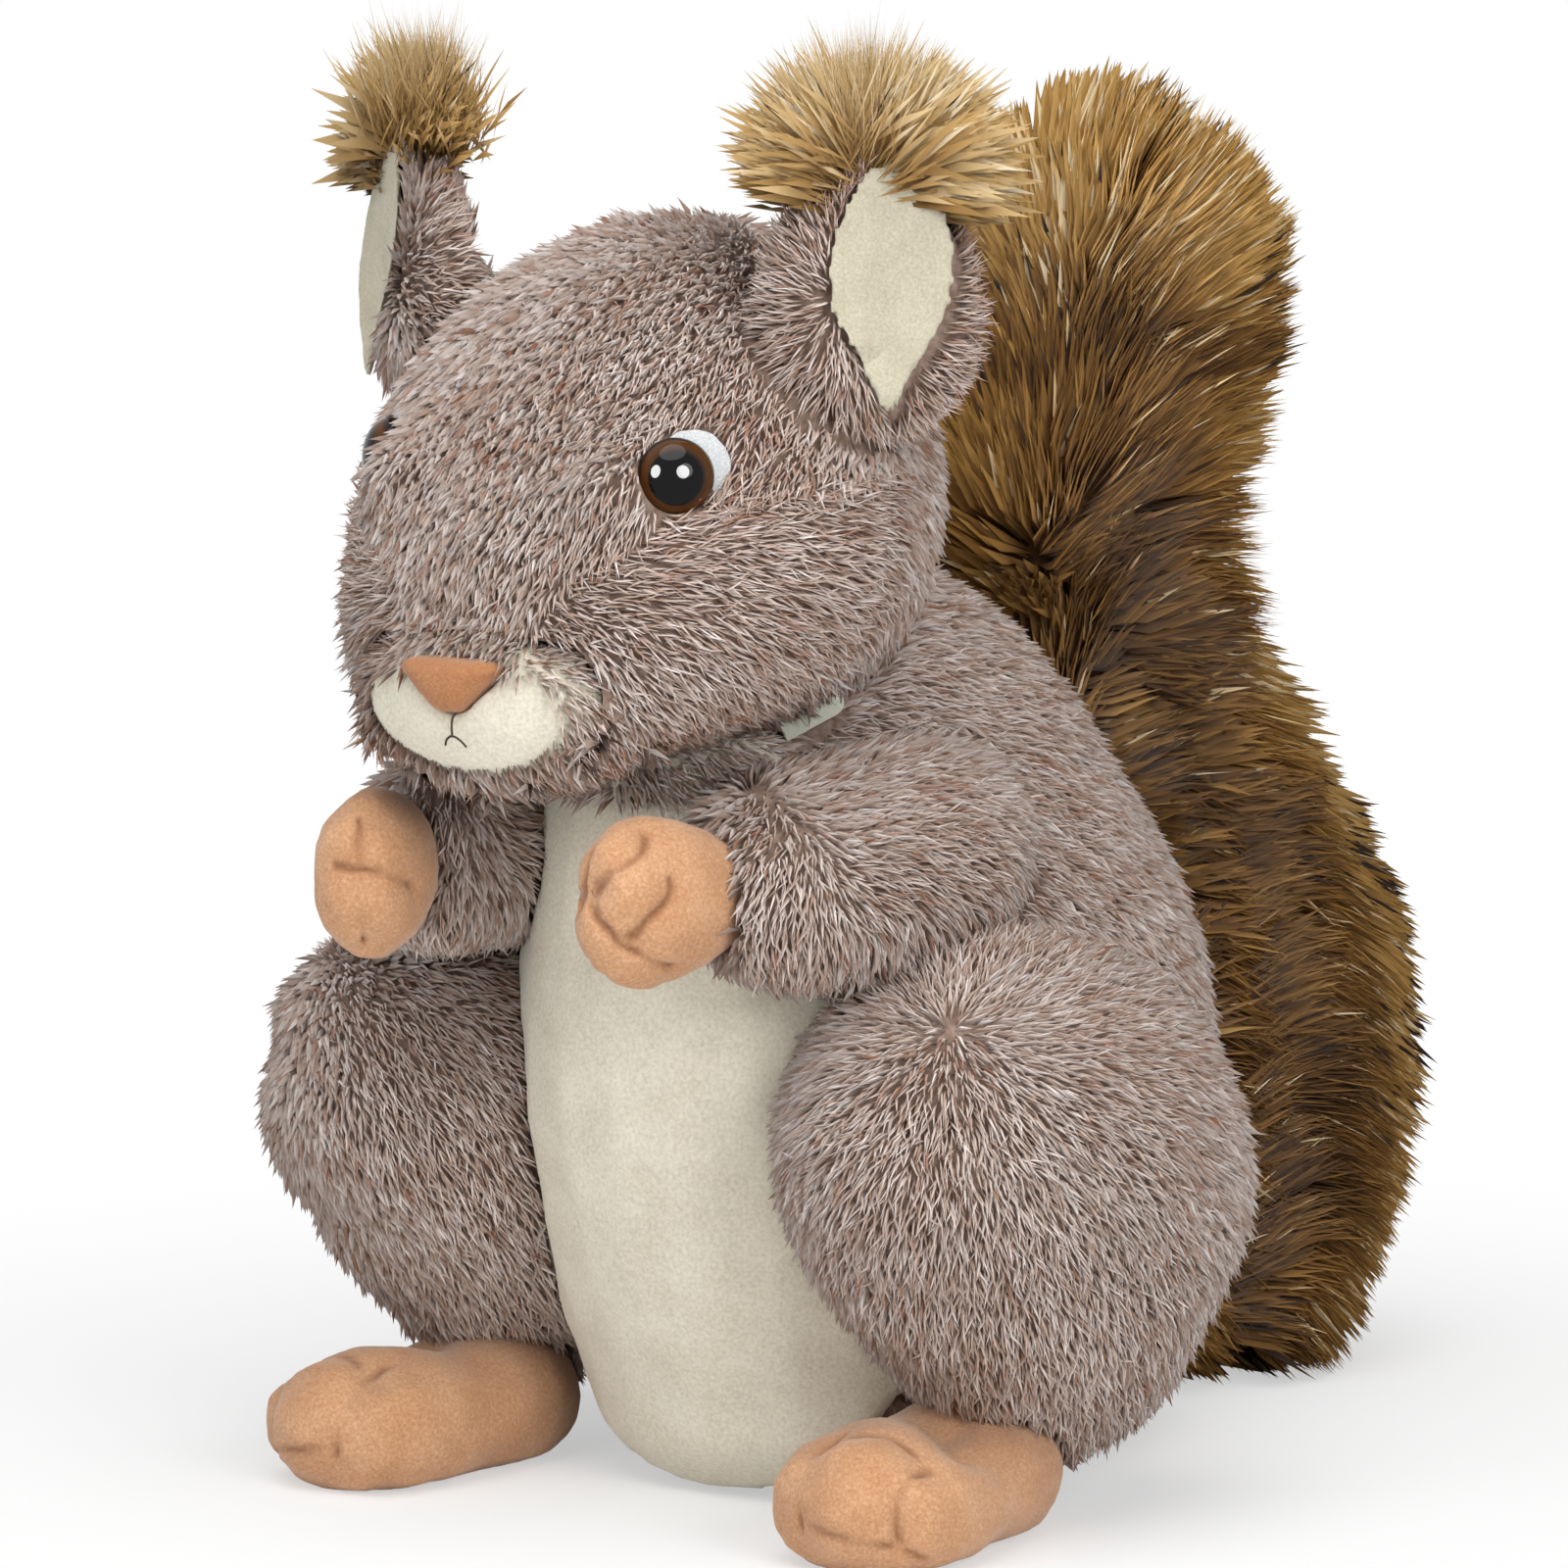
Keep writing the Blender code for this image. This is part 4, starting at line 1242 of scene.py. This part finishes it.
def padded_plush(node: str, name: str, voxel: float, smoothing: int, swell: float = 0.0) -> Object:
    """A stuffed plush form from its CAD node, with soft edges.

    Args:
        node: the CAD node.
        name: of the new object.
        voxel: the mesh's step.
        smoothing: how often it is smoothed.
        swell: how far it grows all round first, which keeps a thin form whole.

    Returns:
        The object, not yet dressed.
    """
    piece = node_mesh((node,), name)
    if swell:
        apply(piece, "DISPLACE", strength=swell, mid_level=0.0)
    apply(piece, "REMESH", mode="VOXEL", voxel_size=voxel)
    apply(piece, "SMOOTH", factor=0.5, iterations=smoothing)
    points = points_of(piece)
    broad, fine = soft_noise(points, 9 * MM, 5) - 0.5, soft_noise(points, 2.2 * MM, 6) - 0.5
    points += normals_of(piece) * (broad * 0.5 * MM + fine * 0.25 * MM)[:, None]
    points[:, 2] = np.maximum(points[:, 2], 0.05 * MM)
    set_points(piece, points)
    piece.data.shade_smooth()
    return piece


@dataclass
class Torso:
    """The torso under its fur, with the cream panel down its front and the label at its neck."""

    collar: float = 194 * MM
    collar_drop: float = 18 * MM
    collar_half: float = 36 * MM
    tuck: float = 9 * MM
    tuck_back: float = -20 * MM
    tuck_top: float = 30 * MM
    shoulder_way: Triple = (0.2, 0.9, -0.38)
    flank_way: Triple = (0.1, 0.5, -0.85)

    def behind_panel(self, roots: Array, tips: Array) -> Array:
        """Whether a strand stands clear of the panel's foot, which is tucked under the toy."""
        return (roots[:, 1] > self.tuck_back) | (roots[:, 2] > self.tuck_top)

    def on_collar(self, roots: Array, tips: Array) -> Array:
        """Whether a strand stands above the visible top of the panel, or beside it there."""
        aside = (np.abs(roots[:, 0]) > self.collar_half) & (roots[:, 2] > self.collar - self.collar_drop)
        return (roots[:, 2] > self.collar) | aside

    def comb(self, points: Array, up: Array) -> Array:
        """The nap runs back over the shoulders and the back, and more and more down below."""
        low = smoothstep(-points[:, 2] / MM, -215, -120)
        return blend(outward(points, self.shoulder_way), outward(points, self.flank_way), low)

    def build(self, hair: Material, backing: Material) -> None:
        """Makes the cloth, the pile, the panel and the label.

        Args:
            hair: the pile's finish.
            backing: the cloth's finish.
        """
        around = Neighbours(("torso",))
        skin = Stuffed("torso", voxel=6 * MM).skin(around, "torso_cloth")
        finish_piece(skin, backing, ["torso"])
        tone = patchy(0.52, 0.16, 15)
        strands = Strands(per_mm2=0.5, width=0.62 * MM)
        pile = Pile("torso_fur", strands, self.comb, tone, self.behind_panel, hair, Slot.FUR, 31, ("torso",))
        pile.grow(skin, around)
        panel = padded_plush("belly_panel", "belly_plush", 2.4 * MM, 4, 1.0 * MM)
        points = points_of(panel)
        points[:, 2] -= self.tuck * smoothstep(-points[:, 2], -40 * MM, -12 * MM)
        set_points(panel, points)
        finish_piece(panel, CREAM_PLUSH.build(), ["belly_panel"])
        pile = Pile("panel_edge_fur", Strands(), self.comb, tone, self.on_collar, hair, Slot.FUR, 33)
        pile.grow(panel, Neighbours(("belly_panel", "torso")))
        dress(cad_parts["neck_label"], LABEL_TAPE.build())


@dataclass
class Ears:
    """Fur cups with a cream lining, and a tuft of long hair on each tip. A lock of the tuft has its turn from
    upright towards the outside, its length in millimetres and its shade."""

    knee: float = 0.45
    yaw: float = math.radians(36)
    lean: dict[int, float] = field(default_factory=lambda: {1: -4.0, -1: 30.0})
    forward: Triple = (0.568, -0.781, 0.259)
    lining_scale: tuple[float, float] = (1.13, 1.14)
    lining_shift: tuple[float, float] = (5 * MM, -3 * MM)
    lining_taper: float = 0.62
    lining_gap: float = 3.4 * MM
    fold: tuple[Triple, ...] = (
        (79, -125, 352), (77.9, -122.6, 342), (78.1, -123.3, 334), (78.8, -124.2, 326), (80.6, -124.5, 317),
    )
    locks: tuple[Triple, ...] = (
        (-64, 18, 0.45), (-38, 24, 0.6), (-14, 29, 0.75), (8, 28, 0.6), (30, 30, 0.8), (52, 29, 0.55), (76, 24, 0.7),
    )
    # Of all the hair, the guard hairs are the few long dark ones that stand out
    count: int = 9500
    guard_count: int = 90
    # Turns in degrees: how far guard hairs fan out, how far hairs stray within a lock, and the fan's ends
    guard_fan: tuple[float, float] = (-45, 60)
    lock_stray: float = 13
    fan_ends: tuple[float, float] = (-72, 86)
    tilt: tuple[float, float] = (-2, 14)
    # Lengths of guard hairs in millimetres, and of the others as shares of their lock's
    guard_length: tuple[float, float] = (20, 29)
    lock_share: tuple[float, float] = (0.45, 1.05)
    hair_widths: tuple[float, float] = (0.14 * MM, 0.22 * MM)
    # The roots stand on an arc below the ear's tip, and stray across, up and through the ear
    rim_drop: Triple = (0, -2 * MM, -16 * MM)
    rim_radius: float = 13 * MM
    stray: Triple = (3.5 * MM, 3 * MM, 4.5 * MM)
    core_depth: float = 2 * MM
    root_depth: float = 3 * MM

    def build(self, hair: Material, backing: Material) -> None:
        """Makes both ears.

        Args:
            hair: the pile's finish.
            backing: the cloth's finish.
        """
        # The lining's plush carries painted shade of the ear's hollow
        plush, tuft_hair = SHADED_LINING_PLUSH.build(), TUFT_HAIR.build()
        for index, (name, side) in enumerate(SIDES):
            middle = np.add(*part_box(f"ear_lining_{name}")) / 2
            lining = padded_plush(f"ear_lining_{name}", f"ear_lining_plush_{name}", 1.1 * MM, 3)
            self.shape_lining(lining, middle, side)
            tree = BVHTree.FromObject(lining, bpy.context.evaluated_depsgraph_get())
            finish_piece(lining, plush, [f"ear_lining_{name}"])
            around = Neighbours((f"ear_{name}", f"ear_tuft_{name}", f"ear_lining_{name}"))
            cloth = Stuffed(f"ear_{name}", voxel=2.6 * MM, inset=3.2 * MM, smoothing=6, unevenness=0.4 * MM)
            skin = cloth.skin(around, f"ear_cloth_{name}")
            forward = np.array(self.forward) * (side, 1, 1)
            set_points(skin, self.behind(tree, points_of(skin), forward))
            finish_piece(skin, backing, [f"ear_{name}"])

            def comb(points: Array, up: Array) -> Array:
                """The nap runs out from the lining, and up."""
                return unit(points - middle) + np.array((0, 0.4, 0.35))

            def beside_lining(roots: Array, tips: Array) -> Array:
                """Whether no lining lies over a strand's root."""
                hits = [tree.ray_cast(Vector(root), Vector(forward), 20 * MM)[0] for root in roots]
                return np.array([hit is None for hit in hits])

            strands = Strands(length=8 * MM, width=0.55 * MM, per_mm2=0.75, root_lift=42)
            fur = (Slot.FUR, 41 + index, (f"ear_{name}",))
            pile = Pile(f"ear_fur_{name}", strands, comb, patchy(0.46, 0.14, 17), beside_lining, hair, *fur)
            pile.grow(skin, around)
            self.build_tuft(name, side, tuft_hair, 51 + index)

    def outer_way(self, side: int) -> Array:
        """The way from an ear's middle to its outer edge, level."""
        return np.array((side * math.cos(self.yaw), math.sin(self.yaw), 0.0))

    def shape_lining(self, lining: Object, middle: Array, side: int) -> None:
        """Draws the lining out to a leaf, round above and pointed below, with a fold along its inner edge.

        Args:
            lining: the piece.
            middle: of its solid.
            side: 1 for the left ear and -1 for the right.
        """
        out = self.outer_way(side)
        points = points_of(lining) - middle
        across, rise = points @ out, points[:, 2]
        new_rise = rise * self.lining_scale[1] + self.lining_shift[1]
        taper = 1 - self.lining_taper * smoothstep(-new_rise, 6 * MM, 38 * MM)
        new_across = across * self.lining_scale[0] * taper + self.lining_shift[0]
        points += out * (new_across - across)[:, None]
        points[:, 2] = new_rise
        set_points(lining, points + middle)
        # The fold gets painted shade along its groove
        Groove(self.fold, 1.5 * MM, 1.6 * MM, 2.5 * MM, 5 * MM).press(lining, side)

    def behind(self, tree: BVHTree, points: Array, forward: Array) -> Array:
        """Keeps the ear's cloth behind its lining.

        Args:
            tree: the lining.
            points: of the cloth.
            forward: the way that the ear faces.

        Returns:
            The points, moved back where they lay in front.
        """
        moved = points.copy()
        for i, point in enumerate(points):
            hit = tree.ray_cast(Vector(point + forward * 30 * MM), Vector(-forward), 34 * MM)[0]
            if hit is not None:
                ahead = (point - np.array(hit)) @ forward + self.lining_gap
                moved[i] = point - forward * max(ahead, 0.0)
        return moved

    def build_tuft(self, name: str, side: int, hair: Material, seed: int) -> None:
        """Makes the long hair on one ear, which fans out of its rim.

        Args:
            name: left or right.
            side: 1 for the left ear and -1 for the right.
            hair: the strands' finish.
            seed: which pattern.
        """
        draw = np.random.default_rng(seed)
        low, high = (np.array(corner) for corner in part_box(f"ear_{name}"))
        rim = np.array(((low[0] + high[0]) / 2, (low[1] + high[1]) / 2, high[2])) + self.rim_drop
        out, up = self.outer_way(side), np.array((0, 0, 1.0))
        back = np.array((-out[1] * side, out[0] * side, 0.0))
        count = self.count
        guards = np.arange(count) < self.guard_count
        lock = draw.integers(0, len(self.locks), count)
        middle, reach, share = np.array(self.locks)[lock].T
        middle = middle + self.lean[side]
        turns = np.where(
            guards, draw.uniform(*self.guard_fan, count), middle + draw.normal(0, self.lock_stray, count)
        )
        fan = np.radians(turns.clip(*self.fan_ends))
        tilt = np.radians(draw.normal(*self.tilt, count))
        aside, along = np.sin(fan), np.cos(fan)
        way = unit(out * aside[:, None] + up * along[:, None] + back * np.sin(tilt)[:, None])
        start = rim + out * (aside * self.rim_radius + draw.normal(0, self.stray[0], count))[:, None]
        start += up * (along * self.rim_radius + draw.normal(0, self.stray[1], count))[:, None]
        depth = draw.standard_normal(count)
        start += back * (self.core_depth + depth * self.stray[2])[:, None]
        guard_length = draw.uniform(*self.guard_length, count)
        length = np.where(guards, guard_length, draw.uniform(*self.lock_share, count) * reach) * MM
        droop = DOWN * (np.sin(np.abs(fan)) * 0.2 * length)[:, None]
        knees = start + way * (length * self.knee)[:, None] - droop * 0.15
        tips = start + way * length[:, None] + droop
        spines = np.stack([start - way * self.root_depth, knees, tips], axis=1)
        shades = np.where(
            guards, draw.uniform(0, 0.1, count), (share + draw.normal(0, 0.16, count)).clip(0.2, 1)
        )
        widths = np.where(guards, *self.hair_widths) * draw.uniform(*WIDTHS, count)
        facing = unit(out * (aside * 0.2)[:, None] + up + back * depth.clip(-1, 0)[:, None] * 0.3)
        tuft = strand_mesh(f"ear_tuft_hair_{name}", spines, facing, widths, shades, self.knee, 0.08)
        finish_piece(tuft, hair, [f"ear_tuft_{name}"])


@dataclass
class Limbs:
    """Arms and legs under their fur, hands and feet of apricot plush with stitched fingers and toes."""

    whorl: Triple = (104.4, -120.0, 143.9)
    leg_folds: tuple[Groove, ...] = tuple(
        Groove(path, 1 * MM, 3 * MM, 2 * MM, 9 * MM)
        for path in (
            ((89, -146, 118), (104, -140, 122), (120, -129, 117), (132, -111, 115), (139, -90, 105)),
            ((86, -133, 72), (101, -128, 69), (115, -121, 71), (127, -103, 67), (139, -76, 75)),
        )
    )
    # The top of the forearm is fuller than its solid, up to the chin: a groove of less than nothing
    arm_top: Groove = Groove(
        ((44, -146, 190), (56, -116, 198), (66, -84, 204)), -3 * MM, 9 * MM, -5 * MM, 17 * MM
    )
    toe_lines: tuple[Groove, ...] = (
        Groove((
            (77, -152, 4), (77.6, -150.9, 14.5), (77.6, -149, 23), (75.5, -144, 29), (75, -137, 33), (76, -129, 35.5),
        )),
        Groove((
            (106.5, -143, 3), (106.1, -142.5, 8), (105, -145, 16), (104.6, -144.9, 21), (104.1, -141.3, 27),
            (105.9, -136.6, 29), (107.1, -130.9, 30),
        )),
        Groove(((90, -101, 36), (97, -109.3, 34.1), (103, -110, 32)), 3 * MM, 7 * MM, 4 * MM, 12 * MM, False),
        Groove(
            ((75.5, -137, 34), (84, -132.5, 37), (93, -130, 36.5), (101, -128.5, 33), (107.1, -130.9, 30)),
            0.9 * MM, 0.9 * MM, 1.2 * MM, 6 * MM,
        ),
        Groove(
            (
                (77, -151, 14), (85, -153, 13), (92, -152, 12), (100, -147.5, 11), (106, -142, 10), (109, -137, 6),
                (111, -131, 2),
            ),
            0.7 * MM, 0.8 * MM, 0.0, 5 * MM,
        ),
    )
    # The first lines show only on the left hand
    near_lines: int = 3
    finger_lines: tuple[Groove, ...] = tuple(
        Groove(path)
        for path in (
            (
                (42, -192, 181.5), (47.8, -189.3, 185.4), (50.9, -185.1, 187.7), (53.2, -180.4, 189.4),
                (51.8, -177.7, 192), (49.3, -176.2, 195),
            ),
            (
                (52.4, -185.9, 167), (54.3, -184.2, 170.8), (56.6, -180.3, 174.8), (58.4, -176.1, 176.8),
                (58.8, -174.5, 179), (58, -175.9, 183),
            ),
            (
                (40.5, -192.5, 178), (42.2, -192.6, 174.5), (45.8, -191.6, 170.6), (49.5, -189.5, 167.7),
                (51.4, -185.8, 164.7), (53.5, -176.7, 158.9), (54.1, -170.6, 157.7),
            ),
            (
                (38.1, -184.9, 192.7), (36, -188.3, 185.6), (34.6, -190, 179.4), (34.1, -189.9, 173),
                (34.8, -187.5, 165), (38.4, -183.2, 156.4),
            ),
            (
                (42.8, -192.5, 179.3), (34.6, -190, 179.4), (31.5, -186.2, 178.2), (29.6, -180.5, 176.2),
                (30.1, -171.9, 172.6),
            ),
        )
    )
    hanging: Triple = (0, 0.15, -0.7)
    sleeve_way: Triple = (0.12, 0.88, -0.42)
    wrist_way: Triple = (-0.2, -0.25, -0.9)
    below_way: Triple = (0, 0.1, -1.0)
    voxels: dict[str, float] = field(default_factory=lambda: {"foot": 1.6 * MM, "hand": 1.15 * MM})

    def leg_comb(self, side: int) -> Field:
        """The nap of a leg runs out from a whorl near its top.

        Args:
            side: 1 for the left leg and -1 for the right.

        Returns:
            The nap as a function of place.
        """
        middle = np.array((self.whorl[0] * side, *self.whorl[1:])) * MM

        def comb(points: Array, up: Array) -> Array:
            """The way of the nap at each point."""
            away = points - middle
            far = np.linalg.norm(away, axis=1, keepdims=True)
            down = smoothstep(far, 40 * MM, 120 * MM)
            return away / np.maximum(far, 1e-6) + down * np.array(self.hanging)

        return comb

    def arm_comb(self, side: int) -> Field:
        """The nap of an arm runs back from the hand, and down below.

        Args:
            side: 1 for the left arm and -1 for the right.

        Returns:
            The nap as a function of place.
        """
        sleeve, steep = (np.array(way) * (side, 1, 1) for way in (self.sleeve_way, self.wrist_way))

        def comb(points: Array, up: Array) -> Array:
            """The way of the nap at each point."""
            wrist = smoothstep(-points[:, 1] / MM, 124, 146)
            under = smoothstep(-up[:, 2], -0.1, 0.5)
            return blend(blend(sleeve, steep, wrist), np.array(self.below_way), under)

        return comb

    def build(self, hair: Material, backing: Material) -> None:
        """Makes arms, legs, hands and feet.

        Args:
            hair: the pile's finish.
            backing: the cloth's finish.
        """
        apricot = APRICOT_PLUSH.build()
        for index, (name, side) in enumerate(SIDES):
            for kind, comb, seed in (("leg", self.leg_comb(side), 61), ("arm", self.arm_comb(side), 71)):
                node = f"{kind}_{name}"
                around = Neighbours((node,))
                skin = Stuffed(node, voxel=4.4 * MM).skin(around, f"{kind}_cloth_{name}")
                for fold in self.leg_folds if kind == "leg" else (self.arm_top,):
                    fold.press(skin, side)
                finish_piece(skin, backing, [node])
                fur = (patchy(0.54, 0.16, 19), always, hair, Slot.FUR, seed + index, (node,))
                Pile(f"{kind}_fur_{name}", Strands(per_mm2=0.6), comb, *fur).grow(skin, around)
            fingers = self.finger_lines if side > 0 else self.finger_lines[self.near_lines :]
            for kind, grooves in (("foot", self.toe_lines), ("hand", fingers)):
                piece = padded_plush(f"{kind}_{name}", f"{kind}_plush_{name}", self.voxels[kind], 6)
                for groove in grooves:
                    # Each line is pressed in and, where it is stitched, gets painted shade along its groove
                    groove.press(piece, side)
                finish_piece(piece, apricot, [f"{kind}_{name}"])


@dataclass
class Tail:
    """A thick tail of long hair over a stuffed core."""

    inset: float = 18 * MM
    length: float = 30 * MM
    lift: float = math.radians(40)
    width: float = 0.52 * MM
    count: int = 49000
    locks: int = 520
    gather: float = 0.32
    knee: float = 0.4
    # How much the hair rises as it runs back, by its height in millimetres, and on the tail's front
    rises: tuple[tuple[float, float], ...] = (
        (0, -1.0), (120, -0.9), (200, -0.45), (250, 0.05), (300, 0.5), (360, 1.0),
    )
    front_rise: float = 0.9
    # Shades along the hair's map: the inner side, darker as painted shade, what gold adds, and how far bands
    # and single hairs differ
    umber: float = 0.25
    gold: float = 0.28
    banding: float = 0.26
    fleck: float = 0.08

    def way(self, points: Array, up: Array) -> Array:
        """Hair lies back along the flanks, turned up at the tail's top and hanging lower down."""
        z = points[:, 2] / MM
        rise = np.interp(z, *zip(*self.rises))
        rise += (self.front_rise - rise) * smoothstep(-up[:, 1], 0.1, 0.7)
        flow = laid(np.stack([np.zeros_like(z), np.full_like(z, 0.9), rise], axis=1), up)
        return unit(flow * math.cos(self.lift) + up * math.sin(self.lift))

    def tone(self, points: Array, up: Array, draw: np.random.Generator) -> Array:
        """Dark umber inside and next to the head, which is painted shade on the side facing the body, golden
        outside, pale and black tips at the outer edge.

        Args:
            points: roots of the strands.
            up: the normals there.
            draw: the source of chance.

        Returns:
            Their shades.
        """
        count = len(points)
        # The side that faces the body and head is darker: painted shade
        outer = smoothstep(up[:, 1], -0.45, 0.5)
        golden = np.maximum(outer, smoothstep(points[:, 2] / MM, 275, 345))
        bands = soft_noise(points, 17 * MM, 23) - 0.5
        shade = self.umber + self.gold * golden + self.banding * bands + self.fleck * draw.standard_normal(count)
        shade = shade.clip(0.06, 0.74)
        patch = soft_noise(points, 30 * MM, 29)
        black = (patch > 0.58) & (draw.random(count) < 0.3 * outer + 0.04)
        pale = ~black & (draw.random(count) < 0.02 + 0.12 * golden)
        shade[black] = draw.uniform(0.92, 0.99, black.sum())
        shade[pale] = draw.uniform(0.76, 0.86, pale.sum())
        return shade

    def build(self) -> None:
        """Makes the core and its hair."""
        around = Neighbours(("tail",))
        core = Stuffed("tail", voxel=5.5 * MM, inset=self.inset, unevenness=2 * MM).skin(around, "tail_cloth")
        finish_piece(core, TAIL_BACKING.build(), ["tail"])
        draw = np.random.default_rng(81)
        roots, up = free_roots(core, self.count, draw, around)
        count = len(roots)
        way = unit(self.way(roots, up) + 0.12 * draw.standard_normal((count, 3)))
        length = self.length * draw.uniform(0.7, 1.15, count)
        locks, lock_up = scatter(core, self.locks, draw)
        nearest = nearest_rows(roots, locks)
        aim = locks[nearest] + self.way(locks, lock_up)[nearest] * (self.length * 1.05)
        tips = roots + way * length[:, None]
        tips += (aim - tips) * self.gather + DOWN * 0.08 * length[:, None]
        knees = roots + (tips - roots) * self.knee + up * (length * 0.16)[:, None]
        spines = np.stack([roots - up * MM, knees, tips], axis=1)
        shades = self.tone(roots, up, draw)
        widths = self.width * draw.uniform(*WIDTHS, count)
        hair = strand_mesh("tail_hair", spines, skyward(up, 0.35), widths, shades, self.knee, 0.2)
        finish_piece(hair, TAIL_HAIR.build(), ["tail"])


def nearest_rows(points: Array, centres: Array) -> Array:
    """For each point the index of its nearest centre."""
    best = np.empty(len(points), dtype=np.int64)
    for first in range(0, len(points), 2000):
        part = points[first : first + 2000]
        best[first : first + 2000] = ((part[:, None] - centres[None]) ** 2).sum(axis=2).argmin(axis=1)
    return best


def background_rays(material: Material | bpy.types.World) -> Socket:
    """1 for the rays that show the background: from the camera, off gloss or through glass."""
    path = add_node(material, "ShaderNodeLightPath")
    shown = path.outputs["Is Camera Ray"]
    for kind in ("Is Glossy Ray", "Is Transmission Ray"):
        shown = add_node(
            material, "ShaderNodeMath", {0: shown, 1: path.outputs[kind]}, operation="MAXIMUM"
        ).outputs[0]
    return shown


@dataclass(frozen=True)
class Lamp:
    """A round lamp that faces the toy. Its azimuth is its turn from the toy's front towards its left."""

    name: str
    azimuth: float
    elevation: float
    distance: float
    size: float
    power: float


@dataclass
class Studio:
    """The photograph's camera, the lamps, the world and a plain floor. Angles are in degrees, and lamps in
    metres and watts."""

    aim: Triple = (-39.753, 0.210, 180.562)
    azimuth: float = 37.0
    elevation: float = 7.6
    distance: float = 2600.0
    lens: float = 216.45
    lamp_aim: Triple = (0, 0, 0.18)
    lamps: tuple[Lamp, ...] = (
        Lamp("lamp_left", -3.0, 17.0, 2.0, 0.95, 7.0),
        Lamp("lamp_right", 66.0, 20.0, 2.0, 0.95, 15.5),
        Lamp("softbox_above", 30.0, 66.0, 1.8, 1.7, 27.0),
    )
    # Only gloss sees these: they stand for the bright middles of the two lamps, which the eyes mirror
    glints: tuple[Lamp, ...] = (
        Lamp("glint_left", -3.0, 17.0, 1.9, 0.85, 90.0),
        Lamp("glint_right", 58.0, 17.0, 1.9, 0.85, 90.0),
    )
    world_level: float = 0.27
    # The floor fades to white between these two distances from the toy, from this share on
    fade: tuple[float, float] = (0.1, 0.5)
    fade_from: float = 0.5

    def direction(self, azimuth: float, elevation: float) -> Vector:
        """A direction from the toy, turned from its front towards its left, and raised."""
        a, e = math.radians(azimuth), math.radians(elevation)
        return Vector((math.sin(a) * math.cos(e), -math.cos(a) * math.cos(e), math.sin(e)))

    def build(self) -> None:
        """Makes the camera, the lamps, the world and the floor."""
        aim = Vector(self.aim) * MM
        camera = bpy.data.cameras.new("camera")
        camera.lens = self.lens
        camera.sensor_width = 36
        camera.clip_end = 50
        eye = bpy.data.objects.new("camera", camera)
        way = self.direction(self.azimuth, self.elevation)
        eye.location = aim + way * self.distance * MM
        eye.rotation_euler = way.to_track_quat("Z", "Y").to_euler()
        bpy.context.collection.objects.link(eye)
        bpy.context.scene.camera = eye
        for lamp in self.lamps:
            self.add_lamp(lamp)
        for glint in self.glints:
            self.add_lamp(glint).visible_diffuse = False
        self.build_world()
        self.build_floor()

    def add_lamp(self, lamp: Lamp) -> Object:
        """Adds a lamp.

        Args:
            lamp: what it is and where it stands.

        Returns:
            The light's object.
        """
        light = bpy.data.lights.new(lamp.name, "AREA")
        light.shape = "DISK"
        light.size = lamp.size
        light.energy = lamp.power
        made = bpy.data.objects.new(lamp.name, light)
        way = self.direction(lamp.azimuth, lamp.elevation)
        made.location = Vector(self.lamp_aim) + way * lamp.distance
        made.rotation_euler = way.to_track_quat("Z", "Y").to_euler()
        bpy.context.collection.objects.link(made)
        return made

    def build_world(self) -> None:
        """White to the camera and to reflections, and a plain pale light on the toy."""
        world = bpy.data.worlds.new("studio")
        world.use_nodes = True
        world.node_tree.nodes.clear()
        light, white = (
            add_node(world, "ShaderNodeBackground", {0: linear("ffffff"), 1: level})
            for level in (self.world_level, 1.0)
        )
        shares = {0: background_rays(world), 1: light.outputs[0], 2: white.outputs[0]}
        both = add_node(world, "ShaderNodeMixShader", shares)
        add_node(world, "ShaderNodeOutputWorld", {0: both.outputs[0]})
        bpy.context.scene.world = world

    def build_floor(self) -> None:
        """A pale floor that fades to white away from the toy."""
        deselect()
        bpy.ops.mesh.primitive_plane_add(size=12, location=(0, 0, 0))
        floor = bpy.context.object
        floor.name = "floor"
        material = new_material("matt white paper")
        coords = add_node(material, "ShaderNodeTexCoord")
        reach = add_node(material, "ShaderNodeVectorMath", {0: coords.outputs["Object"]}, operation="LENGTH")
        fade = add_node(
            material, "ShaderNodeMapRange",
            {0: reach.outputs["Value"], 1: self.fade[0], 2: self.fade[1], 3: self.fade_from, 4: 1.0},
            interpolation_type="SMOOTHSTEP",
        )
        seen = add_node(
            material, "ShaderNodeMath", {0: fade.outputs[0], 1: background_rays(material)}, operation="MULTIPLY"
        )
        paper = add_node(material, "ShaderNodeBsdfDiffuse", {0: linear("f6f6f6")})
        white = add_node(material, "ShaderNodeEmission", {0: linear("ffffff"), 1: 1.0})
        shares = {0: seen.outputs[0], 1: paper.outputs[0], 2: white.outputs[0]}
        both = add_node(material, "ShaderNodeMixShader", shares)
        add_node(material, "ShaderNodeOutputMaterial", {0: both.outputs[0]})
        dress(floor, material)


def main() -> None:
    """Builds the toy, sub-assembly by sub-assembly, and the studio round it."""
    logging.basicConfig(level=logging.INFO, format="%(message)s")
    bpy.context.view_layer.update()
    hair, backing = FUR_HAIR.build(), FUR_BACKING.build()
    eyes = Eyes()
    eyes.build()
    Head(eyes).build(hair, backing)
    Torso().build(hair, backing)
    Ears().build(hair, backing)
    Limbs().build(hair, backing)
    Tail().build()
    Studio().build()
    deselect()
    bpy.context.scene.view_settings.view_transform = "Standard"


if __name__ == "__main__":
    main()
